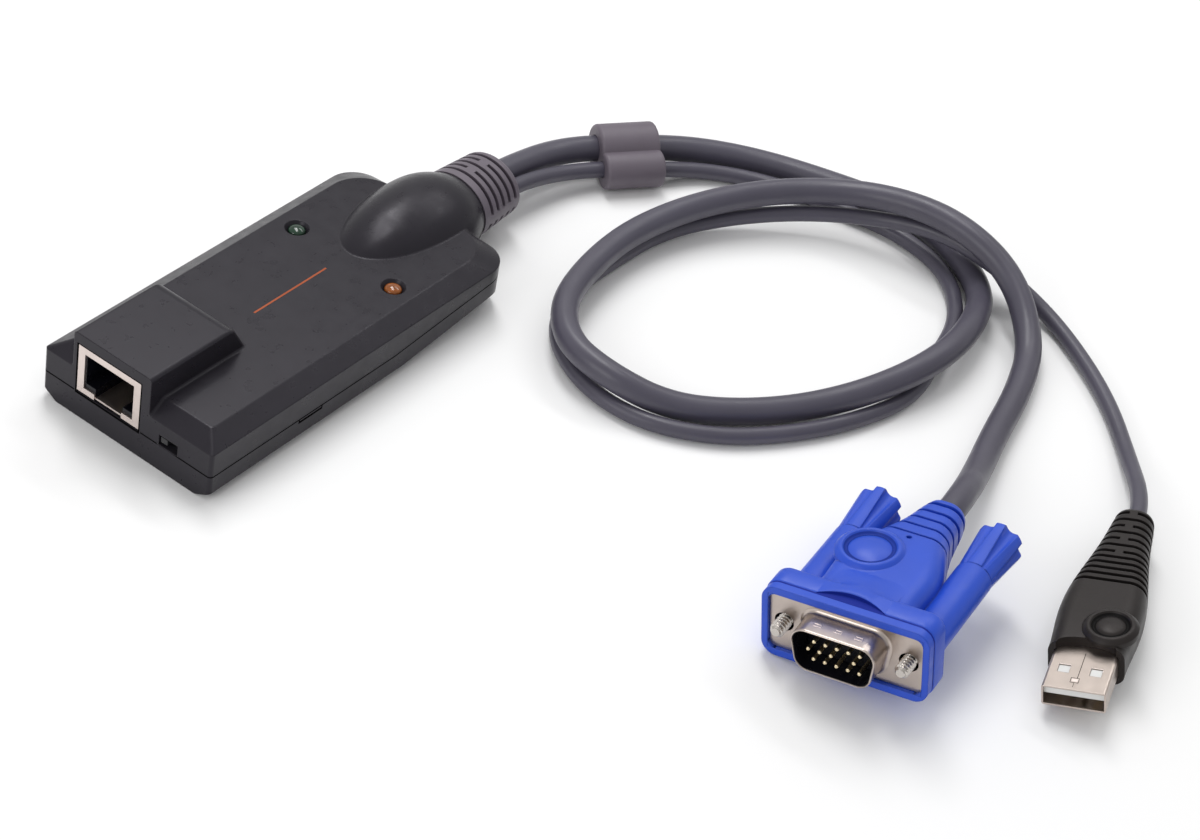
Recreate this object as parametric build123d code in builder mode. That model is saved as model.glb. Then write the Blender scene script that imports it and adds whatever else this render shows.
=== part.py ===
"""Server console adapter: a plastic box with a network socket at one end and, at the other,
a slotted boot with two cables, a thick video cable and a thin data cable.

Frame: millimetres, +Z up, the socket looks along -X, the cables leave along +X.
The origin is the middle of the box's footprint, on the table that everything lies on.
"""
from build123d import *
from math import cos, hypot, radians, sin, sqrt, tan, pi
import os

os.makedirs("parts", exist_ok=True)

# Housing
housing_length = 90.0
housing_width = 43.2
housing_wall = 2.0
floor_thickness = 2.0
parting_height = 6.0
shoulder_height = 11.4
deck_height = 13.8
front_bevel = 3.7
side_bevel = 3.9
rear_bevel = 2.4
front_corner_radius = 0.8
rear_corner_radius = 6.5
deck_corner_radius = 8.5
deck_edge_radius = 0.5
joint_rise_start = 8.0
foot_rise_start = 12.0
foot_chamfer_in = 3.55
foot_chamfer_up = 1.94
rear_foot_chamfer_in = 6.0
rear_foot_chamfer_up = 5.5
joint_tab_start = -20.1
joint_tab_length = 6.6
joint_tab_drop = 0.6
fit_clearance = 0.1

# Raised block over the network socket
block_setback = 16.0
block_near_wall = 2.5
block_far_wall = 1.3
block_roof = 2.6
block_back_wall = 1.5
block_back_slope = 3.9
block_back_radius = 3.0
block_edge_radius = 0.7
block_foot_radius = 0.6

# Cable boss, a flattened egg shape that grows out of the deck and past the rear wall
cable_axis_height = 9.05
boss_peak_x = 41.0
boss_peak_half_width = 11.75
boss_reach_front = 25.2
boss_reach_rear = 16.5
boss_flatness = 0.87
boss_front_x = 17.0
boss_end_x = 52.5
boss_wall = 2.0
boss_sections = 9
boss_foot_radius = 0.5

# Circuit board
board_thickness = 1.6
board_underside = 4.8
board_gap = 0.6
board_corner_radius = 1.5
board_rear_gap = 9.0
standoff_radius = 2.2
standoff_jack_gap = 4.0
standoff_inset_x = 5.0
standoff_inset_y = 4.5
clamp_post_radius = 1.6

# Network socket
jack_width = 16.0
jack_height = 11.0
jack_length = 21.0
jack_sheet = 0.4
shield_opening_width = 12.6
shield_bar_top = 1.5
shield_bar_foot = 1.3
socket_width = 12.0
socket_height = 6.9
socket_top_margin = 1.7
socket_depth = 14.0
latch_step_width = 6.9
latch_step_height = 1.5
latch_notch_width = 7.0
contact_count = 8
contact_pitch = 1.02
contact_width = 0.4
contact_thickness = 0.3
contact_reach = 8.0
contact_drop = 1.8

# Recovery switch
switch_setback = 10.85
switch_slot_width = 4.7
switch_slot_height = 2.4
switch_slot_lift = 0.1
switch_case_width = 8.6
switch_case_height = 2.6
switch_case_depth = 4.2
switch_case_sheet = 0.4
switch_running_gap = 0.12
slider_width = 3.4
slider_depth = 2.2
knob_width = 1.6
knob_height = 1.2
switch_travel = 2.0

# Status lights
light_x = 17.0
light_setback = 8.8
light_radius = 1.5
light_flange_radius = 1.9
light_flange_thickness = 1.0
light_sink_depth = 0.5
light_recess_radius = 2.6
light_recess_angle = 70.0

# Cable boot
boot_length = 13.1
boot_front_half_width = 8.7
boot_front_half_height = 7.6
boot_rear_half_width = 7.9
boot_rear_half_height = 6.9
boot_edge_radius = 1.2
boot_slot_count = 5
boot_first_slot = 2.4
boot_slot_pitch = 2.1
boot_slot_width = 0.9
boot_slot_depth = 1.6
boot_bridge_width = 2.2
neck_half_width = 7.0
neck_half_height = 6.0
neck_length = 3.0
flange_half_width = 7.9
flange_half_height = 6.5
flange_thickness = 2.4

# Cables
cord_lead_out = 6.8
video_cord_radius = 2.85
data_cord_radius = 1.75
collar_length = 13.5
collar_heading = -35.5
collar_shift = -1.6
collar_video_radius = 5.4
collar_edge_radius = 0.8
collar_data_radius = 4.1
collar_bore_gap = 0.12

# Video plug
video_plug_heading = 7.0
video_plug_roll = -11.4
video_plug_at = (2.4, -133.3, 10.7)
video_plate_width = 30.8
video_plate_height = 12.3
video_plate_thickness = 0.8
video_shell_width = 16.9
video_shell_height = 8.36
video_shell_reach = 5.9
video_shell_slant = 10.0
video_shell_corner = 2.4
video_shell_flare = 0.8
video_shell_lip = 0.18
shell_sheet = 0.45
video_rim_width = 33.6
video_rim_height = 15.6
video_rim_corner = 3.0
video_rim_lip = 0.8
video_rim_depth = 3.0
video_flange_start = 4.0
video_flange_end = 6.0
video_flange_inset = 0.8
video_crescent_half_length = 1.7
video_crescent_half_width = 6.4
video_insulator_face = 0.6
video_insulator_depth = 5.0
pin_radius = 0.4
pin_tip_chamfer = 0.15
pin_reach = 4.6
pin_pitch = 2.29
pin_row_spacing = 1.98
video_hood_length = 44.0
video_hood_end_radius = 1.0
video_mark_hole_at = 26.4
video_mark_hole_radius = 0.55
video_mark_hole_depth = 1.2
screw_spacing = 25.0
screw_radius = 1.42
screw_running_gap = 0.08
screw_tip = 3.7
screw_tip_chamfer = 0.4
screw_well_radius = 2.25
screw_well_depth = 3.0
sleeve_radius = 3.75
sleeve_end = 28.0
grip_gap = 0.3
grip_length = 12.9
grip_front_radius = 3.6
grip_rear_radius = 4.7
grip_end_radius = 0.8
grip_flutes = 6
grip_flute_start_radius = 0.4
grip_flute_end_radius = 1.7
grip_socket_depth = 9.0
groove_count = 5
groove_start = 28.2
groove_pitch = 3.4
groove_width = 0.6
groove_depth = 0.5
groove_growth = 0.12
video_badge_at = (19.0, 4.5)
video_badge_skirt = 6.7
video_badge_ring = 5.4

# Data plug
data_plug_heading = 17.2
data_plug_roll = -14.9
data_plug_at = (25.9, -169.7, 5.8)
data_shell_width = 12.0
data_shell_height = 4.5
data_shell_sheet = 0.35
data_shell_length = 18.0
data_shell_corner = 0.5
latch_hole_size = 2.2
latch_hole_spacing = 6.0
latch_hole_at = 5.6
tongue_thickness = 1.9
tongue_setback = 0.8
data_contact_count = 4
data_contact_pitch = 2.4
data_contact_width = 1.2
data_contact_thickness = 0.2
data_contact_length = 7.4
data_hood_start = 10.6
data_hood_length = 55.2
data_hood_end_radius = 1.4
data_arch_half_length = 1.9
data_arch_half_width = 5.6
data_groove_start = 30.2
data_groove_pitch = 1.9
data_groove_width = 0.9
data_groove_depth = 0.8
data_full_grooves = 5
data_split_rows = 4
data_split_start = 39.7
data_split_pitch = 4.5
data_split_bridge = 1.6
data_badge_at = (16.3, -3.4)
data_badge_skirt = 5.3
data_badge_ring = 4.3
badge_rise = 0.55
badge_lip = 0.4
badge_slope = 0.7
badge_dome_radius = 3.1
badge_root = 1.2

# Places worked out from the sizes above
front_x = -housing_length / 2
rear_x = housing_length / 2
board_top = board_underside + board_thickness
jack_back_x = front_x + jack_length
jack_top = board_top + jack_height
socket_top = jack_top - socket_top_margin
socket_floor = socket_top - socket_height
boot_end_x = boss_end_x + boot_length
screw_offset = screw_spacing / 2
parting_plane = Plane.XY.offset(parting_height)
near_side_y = -housing_width / 2
block_near_side = near_side_y + block_setback
block_width = block_near_wall + jack_width + block_far_wall
block_height = jack_top + block_roof
block_top_length = jack_length + block_back_wall
block_foot_length = block_top_length + block_back_slope
jack_centre_y = block_near_side + block_near_wall + jack_width / 2
switch_centre_y = near_side_y + switch_setback
light_y = housing_width / 2 - light_setback


def plug_plane(at, heading, roll):
    """Frame of a plug: x runs back from its face to the cable, y to its left, z up from it."""
    turn, lean = radians(heading), radians(roll)
    back = (cos(turn), sin(turn), 0)
    up = (sin(lean) * sin(turn), -sin(lean) * cos(turn), cos(lean))
    return Plane(origin=at, x_dir=back, z_dir=up)


def across(plug, distance):
    """Sketch plane square to a plug's axis: sketch x is the plug's left, sketch y is up."""
    origin = plug.from_local_coords((distance, 0, 0))
    return Plane(origin=origin, x_dir=plug.y_dir, z_dir=plug.x_dir)


def level(plug, height):
    """Sketch plane parallel to a plug's base: sketch x runs back, sketch y is its left."""
    origin = plug.from_local_coords((0, 0, height))
    return Plane(origin=origin, x_dir=plug.x_dir, z_dir=plug.z_dir)


video_plug = plug_plane(video_plug_at, video_plug_heading, video_plug_roll)
data_plug = plug_plane(data_plug_at, data_plug_heading, data_plug_roll)
video_axis = Axis(video_plug.origin, video_plug.x_dir)

# Routes of the two cables, chosen by hand along their centre lines, from the boot to each plug
video_route = [
    (boot_end_x, 1.9, 7.9),
    (72.5, 1.9, 7.9),
    (90.0, 0.0, 5.9),
    (102.5, -9.2, 5.8),
    (116.0, -18.3, 4.0),
    (125.3, -30.9, 2.9),
    (130.6, -46.3, 2.9),
    (134.6, -61.7, 2.9),
    (131.3, -77.8, 2.9),
    (122.3, -91.3, 3.2),
    (107.3, -97.5, 6.3),
    (91.5, -99.5, 7.6),
    (75.7, -95.7, 6.2),
    (62.3, -87.5, 3.3),
    (49.4, -77.9, 2.9),
    (39.5, -67.0, 3.6),
    (34.6, -55.0, 7.0),
    (36.4, -43.3, 7.4),
    (45.8, -34.6, 7.1),
    (60.0, -30.6, 6.9),
    (75.5, -29.3, 6.9),
    (91.3, -32.7, 7.7),
    (105.4, -39.9, 8.9),
    (118.0, -50.4, 9.8),
    (124.6, -64.7, 12.3),
    (124.9, -81.0, 14.4),
    (123.7, -96.5, 10.0),
    (114.6, -108.4, 3.4),
    (99.3, -114.4, 2.9),
    (83.9, -118.0, 2.9),
    (68.5, -122.6, 4.4),
    tuple(video_plug.from_local_coords((video_hood_length + cord_lead_out, 0, 0))),
    tuple(video_plug.from_local_coords((video_hood_length, 0, 0))),
]
data_route = [
    (boot_end_x, -3.0, 7.7),
    (72.0, -3.0, 7.7),
    (88.8, -6.1, 4.4),
    (100.3, -15.4, 4.3),
    (113.7, -23.4, 2.1),
    (121.8, -36.6, 1.8),
    (125.3, -51.5, 1.9),
    (128.1, -66.8, 1.8),
    (123.9, -81.7, 1.9),
    (111.8, -92.0, 1.8),
    (96.7, -95.7, 1.9),
    (81.8, -99.3, 1.8),
    (66.5, -95.3, 1.9),
    (52.9, -88.2, 1.8),
    (40.8, -78.4, 1.9),
    (33.2, -64.5, 1.8),
    (33.9, -49.0, 1.9),
    (42.6, -35.3, 1.8),
    (57.1, -29.5, 1.9),
    (72.5, -29.3, 1.8),
    (88.0, -30.4, 1.9),
    (101.7, -37.5, 2.9),
    (113.0, -47.9, 4.6),
    (122.2, -60.1, 5.9),
    (126.1, -75.1, 9.0),
    (126.7, -90.2, 7.9),
    (128.7, -104.4, 1.8),
    (120.4, -118.3, 1.9),
    (111.2, -130.2, 1.8),
    (99.4, -141.1, 1.9),
    tuple(data_plug.from_local_coords((data_hood_length + cord_lead_out, 0, 0))),
    tuple(data_plug.from_local_coords((data_hood_length, 0, 0))),
]


def housing_section(height, front, side, rear, rear_radius):
    """Plan outline of the housing at a height, set in from its front, sides and rear."""
    with BuildSketch(Plane.XY.offset(height)) as section:
        with Locations(((front - rear) / 2, 0)):
            Rectangle(housing_length - front - rear, housing_width - 2 * side)
        fillet(section.vertices().group_by(Axis.X)[0], front_corner_radius)
        fillet(section.vertices().group_by(Axis.X)[-1], rear_radius)
    return section.sketch


def foot_wedges(wall):
    """Wedges under the slanted feet of both long sides, grown inward by a wall, in the current part."""
    outlines = []
    for x, leg_in, leg_up in (
        (front_x, foot_chamfer_in, foot_chamfer_up),
        (foot_rise_start, foot_chamfer_in, foot_chamfer_up),
        (rear_x, rear_foot_chamfer_in, rear_foot_chamfer_up),
    ):
        growth = 1 + wall * hypot(leg_in, leg_up) / (leg_in * leg_up)
        with BuildSketch(Plane.YZ.offset(x)) as section:
            with BuildLine():
                Polyline(
                    (near_side_y, 0),
                    (near_side_y + growth * leg_in, 0),
                    (near_side_y, growth * leg_up),
                    close=True,
                )
            make_face()
        outlines.append(section.sketch)
    loft(outlines, ruled=True)
    mirror(about=Plane.XZ)


def boss_half_width(x):
    """Half width of the cable boss at x, a quarter ellipse on each side of its peak."""
    reach = boss_reach_front if x < boss_peak_x else boss_reach_rear
    return boss_peak_half_width * sqrt(1 - ((x - boss_peak_x) / reach) ** 2)


def boss_form(start, end, inset):
    """Lofted egg shape of the boss between two stations, set in by a wall, in the current part."""
    sections = []
    for step in range(boss_sections):
        x = start + (end - start) * step / (boss_sections - 1)
        half_width = boss_half_width(x)
        with BuildSketch(Plane.YZ.offset(x)) as section:
            with Locations((0, cable_axis_height)):
                Ellipse(half_width - inset, boss_flatness * half_width - inset)
        sections.append(section.sketch)
    loft(sections)


# Forms shared by the two halves of the housing
with BuildPart() as boss_outer:
    boss_form(boss_front_x, boss_end_x, 0)

with BuildPart() as boss_inner:
    boss_form(boss_front_x + 1.5 * boss_wall, boss_end_x - neck_length, boss_wall)

with BuildPart() as neck_hole:
    with BuildSketch(Plane.YZ.offset(boss_end_x - neck_length - fit_clearance)):
        with Locations((0, cable_axis_height)):
            Ellipse(neck_half_width + fit_clearance, neck_half_height + fit_clearance)
    extrude(amount=neck_length + 2 * fit_clearance)

with BuildPart() as jack_block:
    with BuildSketch(Plane.XZ.offset(-block_near_side - block_width)) as block_side:
        with BuildLine():
            Polyline(
                (front_x, parting_height),
                (front_x, block_height),
                (front_x + block_top_length, block_height),
                (front_x + block_foot_length, deck_height),
                (front_x + block_foot_length, parting_height),
                close=True,
            )
        make_face()
        top_corners = block_side.vertices().group_by(Axis.Y)[-1].sort_by(Axis.X)
        fillet(top_corners[-1], block_back_radius)
    extrude(amount=block_width)
    fillet(jack_block.edges().filter_by(Axis.X).group_by(Axis.Z)[-1], block_edge_radius)

board_length = housing_length - 2 * housing_wall - board_gap - board_rear_gap
board_width = housing_width - 2 * housing_wall - 2 * board_gap
board_centre_x = front_x + housing_wall + board_gap + board_length / 2
front_standoff_x = jack_back_x + standoff_jack_gap
rear_standoff_x = board_centre_x + board_length / 2 - standoff_inset_x
standoff_y = board_width / 2 - standoff_inset_y
standoff_places = [
    (front_standoff_x, -standoff_y),
    (front_standoff_x, standoff_y),
    (rear_standoff_x, -standoff_y),
    (rear_standoff_x, standoff_y),
]


def flat_edges(shape, height):
    """Edges of a shape that lie flat at a height."""
    return shape.edges().filter_by(
        lambda edge: edge.bounding_box().min.Z > height - fit_clearance
        and edge.bounding_box().max.Z < height + fit_clearance
    )


def block_foot_edges(shape):
    """Edges where the near side of the socket block meets the deck and the front bevel."""
    found = shape.edges().filter_by_position(Axis.X, front_x, front_x + block_foot_length)
    return found.filter_by(
        lambda edge: abs(edge.bounding_box().min.Y - block_near_side) < fit_clearance
        and abs(edge.bounding_box().max.Y - block_near_side) < fit_clearance
        and edge.bounding_box().min.Z > shoulder_height - fit_clearance
        and edge.bounding_box().max.Z < deck_height + fit_clearance
    )


# Outer form of both halves: bevelled deck, slanted feet, boss and block in one
boss_above_table = split(boss_outer.part, bisect_by=Plane.XY, keep=Keep.TOP)
boss_core = split(boss_inner.part, bisect_by=Plane.XY.offset(floor_thickness), keep=Keep.TOP)

with BuildPart() as foot_cut:
    foot_wedges(0)

with BuildPart() as housing_form:
    extrude(housing_section(0, 0, 0, 0, rear_corner_radius), amount=shoulder_height)
    shoulder = housing_section(shoulder_height, 0, 0, 0, rear_corner_radius)
    deck = housing_section(deck_height, front_bevel, side_bevel, rear_bevel, deck_corner_radius)
    loft([shoulder, deck], ruled=True)
    fillet(flat_edges(housing_form, deck_height), deck_edge_radius)
    add(boss_above_table)
    fillet(
        flat_edges(housing_form, deck_height).filter_by_position(
            Axis.X, boss_front_x, rear_x - rear_bevel - deck_corner_radius
        ),
        boss_foot_radius,
    )
    add(jack_block.part)
    fillet(block_foot_edges(housing_form), block_foot_radius)
    add(foot_cut.part, mode=Mode.SUBTRACT)

# Space inside: a wall's width in from the form, with a floor, the boss's core and the neck's hole
inner_shoulder = shoulder_height - 0.6 * housing_wall
inner_deck = deck_height - housing_wall
deck_inset = 0.6 * housing_wall

with BuildPart() as foot_wall:
    foot_wedges(housing_wall)

with BuildPart() as housing_hollow:
    hollow_floor = housing_section(
        floor_thickness, housing_wall, housing_wall, housing_wall, rear_corner_radius
    )
    extrude(hollow_floor, amount=inner_shoulder - floor_thickness)
    hollow_shoulder = housing_section(
        inner_shoulder, housing_wall, housing_wall, housing_wall, rear_corner_radius
    )
    hollow_deck = housing_section(
        inner_deck,
        front_bevel + deck_inset,
        side_bevel + deck_inset,
        rear_bevel + deck_inset,
        deck_corner_radius,
    )
    loft([hollow_shoulder, hollow_deck], ruled=True)
    add(foot_wall.part, mode=Mode.SUBTRACT)
    add(boss_core)
    add(neck_hole.part)

# Joint between the halves: level along the front, then rising to the cable's axis at the rear
with BuildPart() as upper_region:
    with BuildSketch(Plane.XZ.offset(-housing_width)):
        with BuildLine():
            Polyline(
                (2 * front_x, parting_height),
                (joint_rise_start, parting_height),
                (rear_x, cable_axis_height),
                (2 * rear_x, cable_axis_height),
                (2 * rear_x, 2 * block_height),
                (2 * front_x, 2 * block_height),
                close=True,
            )
        make_face()
    extrude(amount=2 * housing_width)

# Top housing: deck, bevels, block and the upper part of the cable boss
with BuildPart() as top_housing:
    add(housing_form.part)
    add(upper_region.part, mode=Mode.INTERSECT)
    add(housing_hollow.part, mode=Mode.SUBTRACT)
    # Pocket that holds the network socket
    with BuildSketch(parting_plane):
        with Locations((front_x + (jack_length + fit_clearance) / 2, jack_centre_y)):
            Rectangle(jack_length + fit_clearance, jack_width + 2 * fit_clearance)
    extrude(amount=jack_top + fit_clearance - parting_height, mode=Mode.SUBTRACT)
    # Slot for the recovery switch
    switch_slot_z = parting_height + switch_slot_lift + switch_slot_height / 2
    with BuildSketch(Plane.YZ.offset(front_x)):
        with Locations((switch_centre_y, switch_slot_z)):
            Rectangle(switch_slot_width, switch_slot_height)
    extrude(amount=housing_wall, mode=Mode.SUBTRACT)
    # Funnels round the status lights
    with Locations((light_x, light_y, deck_height), (light_x, -light_y, deck_height)):
        CounterSinkHole(
            radius=light_radius + fit_clearance,
            counter_sink_radius=light_recess_radius,
            counter_sink_angle=light_recess_angle,
            depth=2 * housing_wall,
        )
    # Posts that hold the board down
    with BuildSketch(Plane.XY.offset(board_top + fit_clearance)):
        with Locations(*standoff_places):
            Circle(clamp_post_radius)
    extrude(amount=inner_deck - board_top - fit_clearance)
    # Tab of the joint line on the near side
    with BuildSketch(Plane.XY.offset(parting_height - joint_tab_drop)):
        tab_middle = joint_tab_start + joint_tab_length / 2
        with Locations((tab_middle, near_side_y + housing_wall / 2)):
            Rectangle(joint_tab_length, housing_wall)
    extrude(amount=joint_tab_drop)

top_housing.part.label = "top_housing"
export_step(top_housing.part, "parts/top_housing.step")

# Bottom housing: tray with slanted feet, board standoffs and the lower part of the cable boss
with BuildPart() as bottom_housing:
    add(housing_form.part)
    add(upper_region.part, mode=Mode.SUBTRACT)
    add(housing_hollow.part, mode=Mode.SUBTRACT)
    with BuildSketch(Plane.XY.offset(floor_thickness)):
        with Locations(*standoff_places):
            Circle(standoff_radius)
    extrude(amount=board_underside - floor_thickness)
    with BuildSketch(Plane.XY.offset(parting_height - joint_tab_drop - fit_clearance / 2)):
        with Locations((tab_middle, near_side_y + housing_wall / 2)):
            Rectangle(joint_tab_length + fit_clearance, housing_wall)
    extrude(amount=joint_tab_drop + fit_clearance / 2, mode=Mode.SUBTRACT)

bottom_housing.part.label = "bottom_housing"
export_step(bottom_housing.part, "parts/bottom_housing.step")

# Circuit board on the standoffs
with BuildPart() as main_board:
    with BuildSketch(Plane.XY.offset(board_underside)):
        with Locations((board_centre_x, 0)):
            RectangleRounded(board_length, board_width, board_corner_radius)
    extrude(amount=board_thickness)

main_board.part.label = "main_board"
export_step(main_board.part, "parts/main_board.step")

# Network socket: sheet shield, moulding with a stepped latch channel, eight wire contacts
jack_middle_x = front_x + jack_length / 2

with BuildPart() as rj45_shield:
    with BuildSketch(Plane.XY.offset(board_top)):
        with Locations((jack_middle_x, jack_centre_y)):
            Rectangle(jack_length, jack_width)
    extrude(amount=jack_height)
    with BuildSketch(Plane.XY.offset(board_top + jack_sheet)):
        with Locations((jack_middle_x, jack_centre_y)):
            Rectangle(jack_length - 2 * jack_sheet, jack_width - 2 * jack_sheet)
    extrude(amount=jack_height - 2 * jack_sheet, mode=Mode.SUBTRACT)
    with BuildSketch(Plane.YZ.offset(front_x)):
        opening_height = jack_height - shield_bar_top - shield_bar_foot
        with Locations((jack_centre_y, board_top + shield_bar_foot)):
            Rectangle(shield_opening_width, opening_height, align=(Align.CENTER, Align.MIN))
        with Locations((jack_centre_y, board_top)):
            Rectangle(latch_notch_width, 2 * shield_bar_foot, align=(Align.CENTER, Align.MIN))
    extrude(amount=jack_sheet, mode=Mode.SUBTRACT)

rj45_shield.part.label = "rj45_shield"
export_step(rj45_shield.part, "parts/rj45_shield.step")

with BuildPart() as rj45_insulator:
    with BuildSketch(Plane.XY.offset(board_top + jack_sheet)):
        with Locations((jack_middle_x, jack_centre_y)):
            Rectangle(jack_length - 2 * jack_sheet, jack_width - 2 * jack_sheet)
    extrude(amount=jack_height - 2 * jack_sheet)
    with BuildSketch(Plane.YZ.offset(front_x + jack_sheet)):
        with Locations((jack_centre_y, socket_floor)):
            Rectangle(socket_width, socket_height, align=(Align.CENTER, Align.MIN))
            Rectangle(latch_step_width, latch_step_height, align=(Align.CENTER, Align.MAX))
        with Locations((jack_centre_y, board_top + jack_sheet)):
            Rectangle(latch_notch_width, 2 * latch_step_height, align=(Align.CENTER, Align.MIN))
    extrude(amount=socket_depth, mode=Mode.SUBTRACT)

rj45_insulator.part.label = "rj45_insulator"
export_step(rj45_insulator.part, "parts/rj45_insulator.step")

with BuildPart() as rj45_contacts:
    contact_start = front_x + jack_sheet + 1.2
    first_contact_y = jack_centre_y - contact_pitch * (contact_count - 1) / 2
    for number in range(contact_count):
        contact_y = first_contact_y + number * contact_pitch + contact_width / 2
        with BuildSketch(Plane.XZ.offset(-contact_y)):
            with BuildLine():
                Polyline(
                    (contact_start, socket_top),
                    (contact_start + 1, socket_top),
                    (contact_start + 1 + contact_reach, socket_top - contact_drop),
                    (contact_start + 1 + contact_reach, socket_top - contact_drop - contact_thickness),
                    (contact_start + 1, socket_top - contact_thickness),
                    (contact_start, socket_top - contact_thickness),
                    close=True,
                )
            make_face()
        extrude(amount=contact_width)

rj45_contacts.part.label = "rj45_contacts"
export_step(rj45_contacts.part, "parts/rj45_contacts.step")

# Recovery switch: a case on the board and a slider that moves along Y
switch_front_x = front_x + housing_wall + fit_clearance
switch_middle_x = switch_front_x + switch_case_depth / 2
switch_axis_z = board_top + switch_case_height / 2
switch_cavity_width = slider_width + switch_travel + 2 * switch_running_gap
switch_cavity_height = switch_case_height - 2 * switch_case_sheet
slider_rest_y = switch_centre_y + switch_travel / 2

with BuildPart() as switch_body:
    with BuildSketch(Plane.XY.offset(board_top)):
        with Locations((switch_middle_x, switch_centre_y)):
            Rectangle(switch_case_depth, switch_case_width)
    extrude(amount=switch_case_height)
    with BuildSketch(Plane.YZ.offset(switch_front_x + switch_case_sheet)):
        with Locations((switch_centre_y, switch_axis_z)):
            Rectangle(switch_cavity_width, switch_cavity_height)
    extrude(amount=slider_depth + 2 * switch_running_gap, mode=Mode.SUBTRACT)
    with BuildSketch(Plane.YZ.offset(switch_front_x)):
        with Locations((switch_centre_y, switch_axis_z)):
            Rectangle(
                knob_width + switch_travel + 2 * switch_running_gap,
                knob_height + 2 * switch_running_gap,
            )
    extrude(amount=switch_case_sheet, mode=Mode.SUBTRACT)

switch_body.part.label = "switch_body"
export_step(switch_body.part, "parts/switch_body.step")

with BuildPart() as switch_slider:
    slider_start = switch_front_x + switch_case_sheet + switch_running_gap
    with BuildSketch(Plane.YZ.offset(slider_start)):
        with Locations((slider_rest_y, switch_axis_z)):
            Rectangle(slider_width, switch_cavity_height - 2 * switch_running_gap)
    extrude(amount=slider_depth)
    with BuildSketch(Plane.YZ.offset(front_x)):
        with Locations((slider_rest_y, switch_axis_z)):
            Rectangle(knob_width, knob_height)
    extrude(amount=slider_start - front_x)

switch_slider.part.label = "switch_slider"
export_step(switch_slider.part, "parts/switch_slider.step")

# Status lights, domed pegs that stand on the board
light_top = deck_height - light_sink_depth
for light_name, side in (("led_online", 1), ("led_power", -1)):
    with BuildPart() as light:
        with BuildSketch(Plane.XY.offset(board_top)):
            with Locations((light_x, side * light_y)):
                Circle(light_flange_radius)
        extrude(amount=light_flange_thickness)
        with BuildSketch(Plane.XY.offset(board_top)):
            with Locations((light_x, side * light_y)):
                Circle(light_radius)
        extrude(amount=light_top - board_top)
        fillet(light.edges().group_by(Axis.Z)[-1], 0.9 * light_radius)
    light.part.label = light_name
    export_step(light.part, f"parts/{light_name}.step")

# Cable boot: slotted sleeve, with a neck and a flange held inside the boss
boot_slots = [boss_end_x + boot_first_slot + n * boot_slot_pitch for n in range(boot_slot_count)]


def boot_half_sizes(x):
    """Half width and half height of the boot at x."""
    share = (x - boss_end_x) / boot_length
    half_width = boot_front_half_width + (boot_rear_half_width - boot_front_half_width) * share
    half_height = boot_front_half_height + (boot_rear_half_height - boot_front_half_height) * share
    return half_width, half_height


with BuildPart() as cable_boot:
    for x in (boss_end_x, boot_end_x):
        with BuildSketch(Plane.YZ.offset(x)):
            with Locations((0, cable_axis_height)):
                Ellipse(*boot_half_sizes(x))
    loft()
    fillet(cable_boot.edges().group_by(Axis.X)[-1], boot_edge_radius)
    for number, x in enumerate(boot_slots):
        half_width, half_height = boot_half_sizes(x)
        with BuildSketch(Plane.YZ.offset(x - boot_slot_width / 2)):
            with Locations((0, cable_axis_height)):
                Ellipse(half_width + boot_slot_depth, half_height + boot_slot_depth)
                Ellipse(half_width - boot_slot_depth, half_height - boot_slot_depth, mode=Mode.SUBTRACT)
                Rectangle(4 * half_width, boot_bridge_width, mode=Mode.SUBTRACT)
                if number % 2:
                    Rectangle(boot_bridge_width, 4 * half_height, mode=Mode.SUBTRACT)
        extrude(amount=boot_slot_width, mode=Mode.SUBTRACT)
    with BuildSketch(Plane.YZ.offset(boss_end_x - neck_length)):
        with Locations((0, cable_axis_height)):
            Ellipse(neck_half_width, neck_half_height)
    extrude(amount=neck_length)
    with BuildSketch(Plane.YZ.offset(boss_end_x - neck_length - fit_clearance - flange_thickness)):
        with Locations((0, cable_axis_height)):
            Ellipse(flange_half_width, flange_half_height)
    extrude(amount=flange_thickness + fit_clearance)
    # Flat under the neck and flange, where the bottom housing's floor runs
    with BuildSketch(Plane.XY.offset(floor_thickness + fit_clearance)):
        with Locations((boss_end_x - neck_length, 0)):
            Rectangle(2 * neck_length, 4 * flange_half_width)
    extrude(amount=-cable_axis_height, mode=Mode.SUBTRACT)

cable_boot.part.label = "cable_boot"
export_step(cable_boot.part, "parts/cable_boot.step")


def route_radii(route):
    """Largest bend radius at each corner of a route: 0.45 of the shorter run over tan(half turn)."""
    points = [Vector(*point) for point in route]
    radii = []
    for before, corner, after in zip(points, points[1:], points[2:]):
        turn = radians((corner - before).get_angle(after - corner))
        shorter = min((corner - before).length, (after - corner).length)
        radii.append(0.45 * shorter / tan(turn / 2))
    return radii


def cord_tube(route, radius):
    """Round tube along straight runs joined by tangent arcs, in the current part."""
    with BuildLine() as path:
        FilletPolyline(*route, radius=route_radii(route))
    with BuildSketch(Plane(origin=path.line @ 0, z_dir=path.line % 0)) as ring:
        Circle(radius)
    sweep(ring.sketch, path=path.line)
    return sum(edge.length for edge in path.edges())


cord_lengths = {}

with BuildPart() as vga_cord:
    cord_lengths["vga_cord"] = cord_tube(video_route, video_cord_radius)

vga_cord.part.label = "vga_cord"
export_step(vga_cord.part, "parts/vga_cord.step")

with BuildPart() as usb_cord:
    cord_lengths["usb_cord"] = cord_tube(data_route, data_cord_radius)

usb_cord.part.label = "usb_cord"
export_step(usb_cord.part, "parts/usb_cord.step")

for cord, radius, route in (
    (vga_cord, video_cord_radius, video_route),
    (usb_cord, data_cord_radius, data_route),
):
    length = cord_lengths[cord.part.label]
    ratio = cord.part.volume / (pi * radius**2 * length)
    print(cord.part.label, "length", round(length, 1), "volume over section times length", round(ratio, 4))
    print("radii", [round(value, 1) for value in route_radii(route)])

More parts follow.
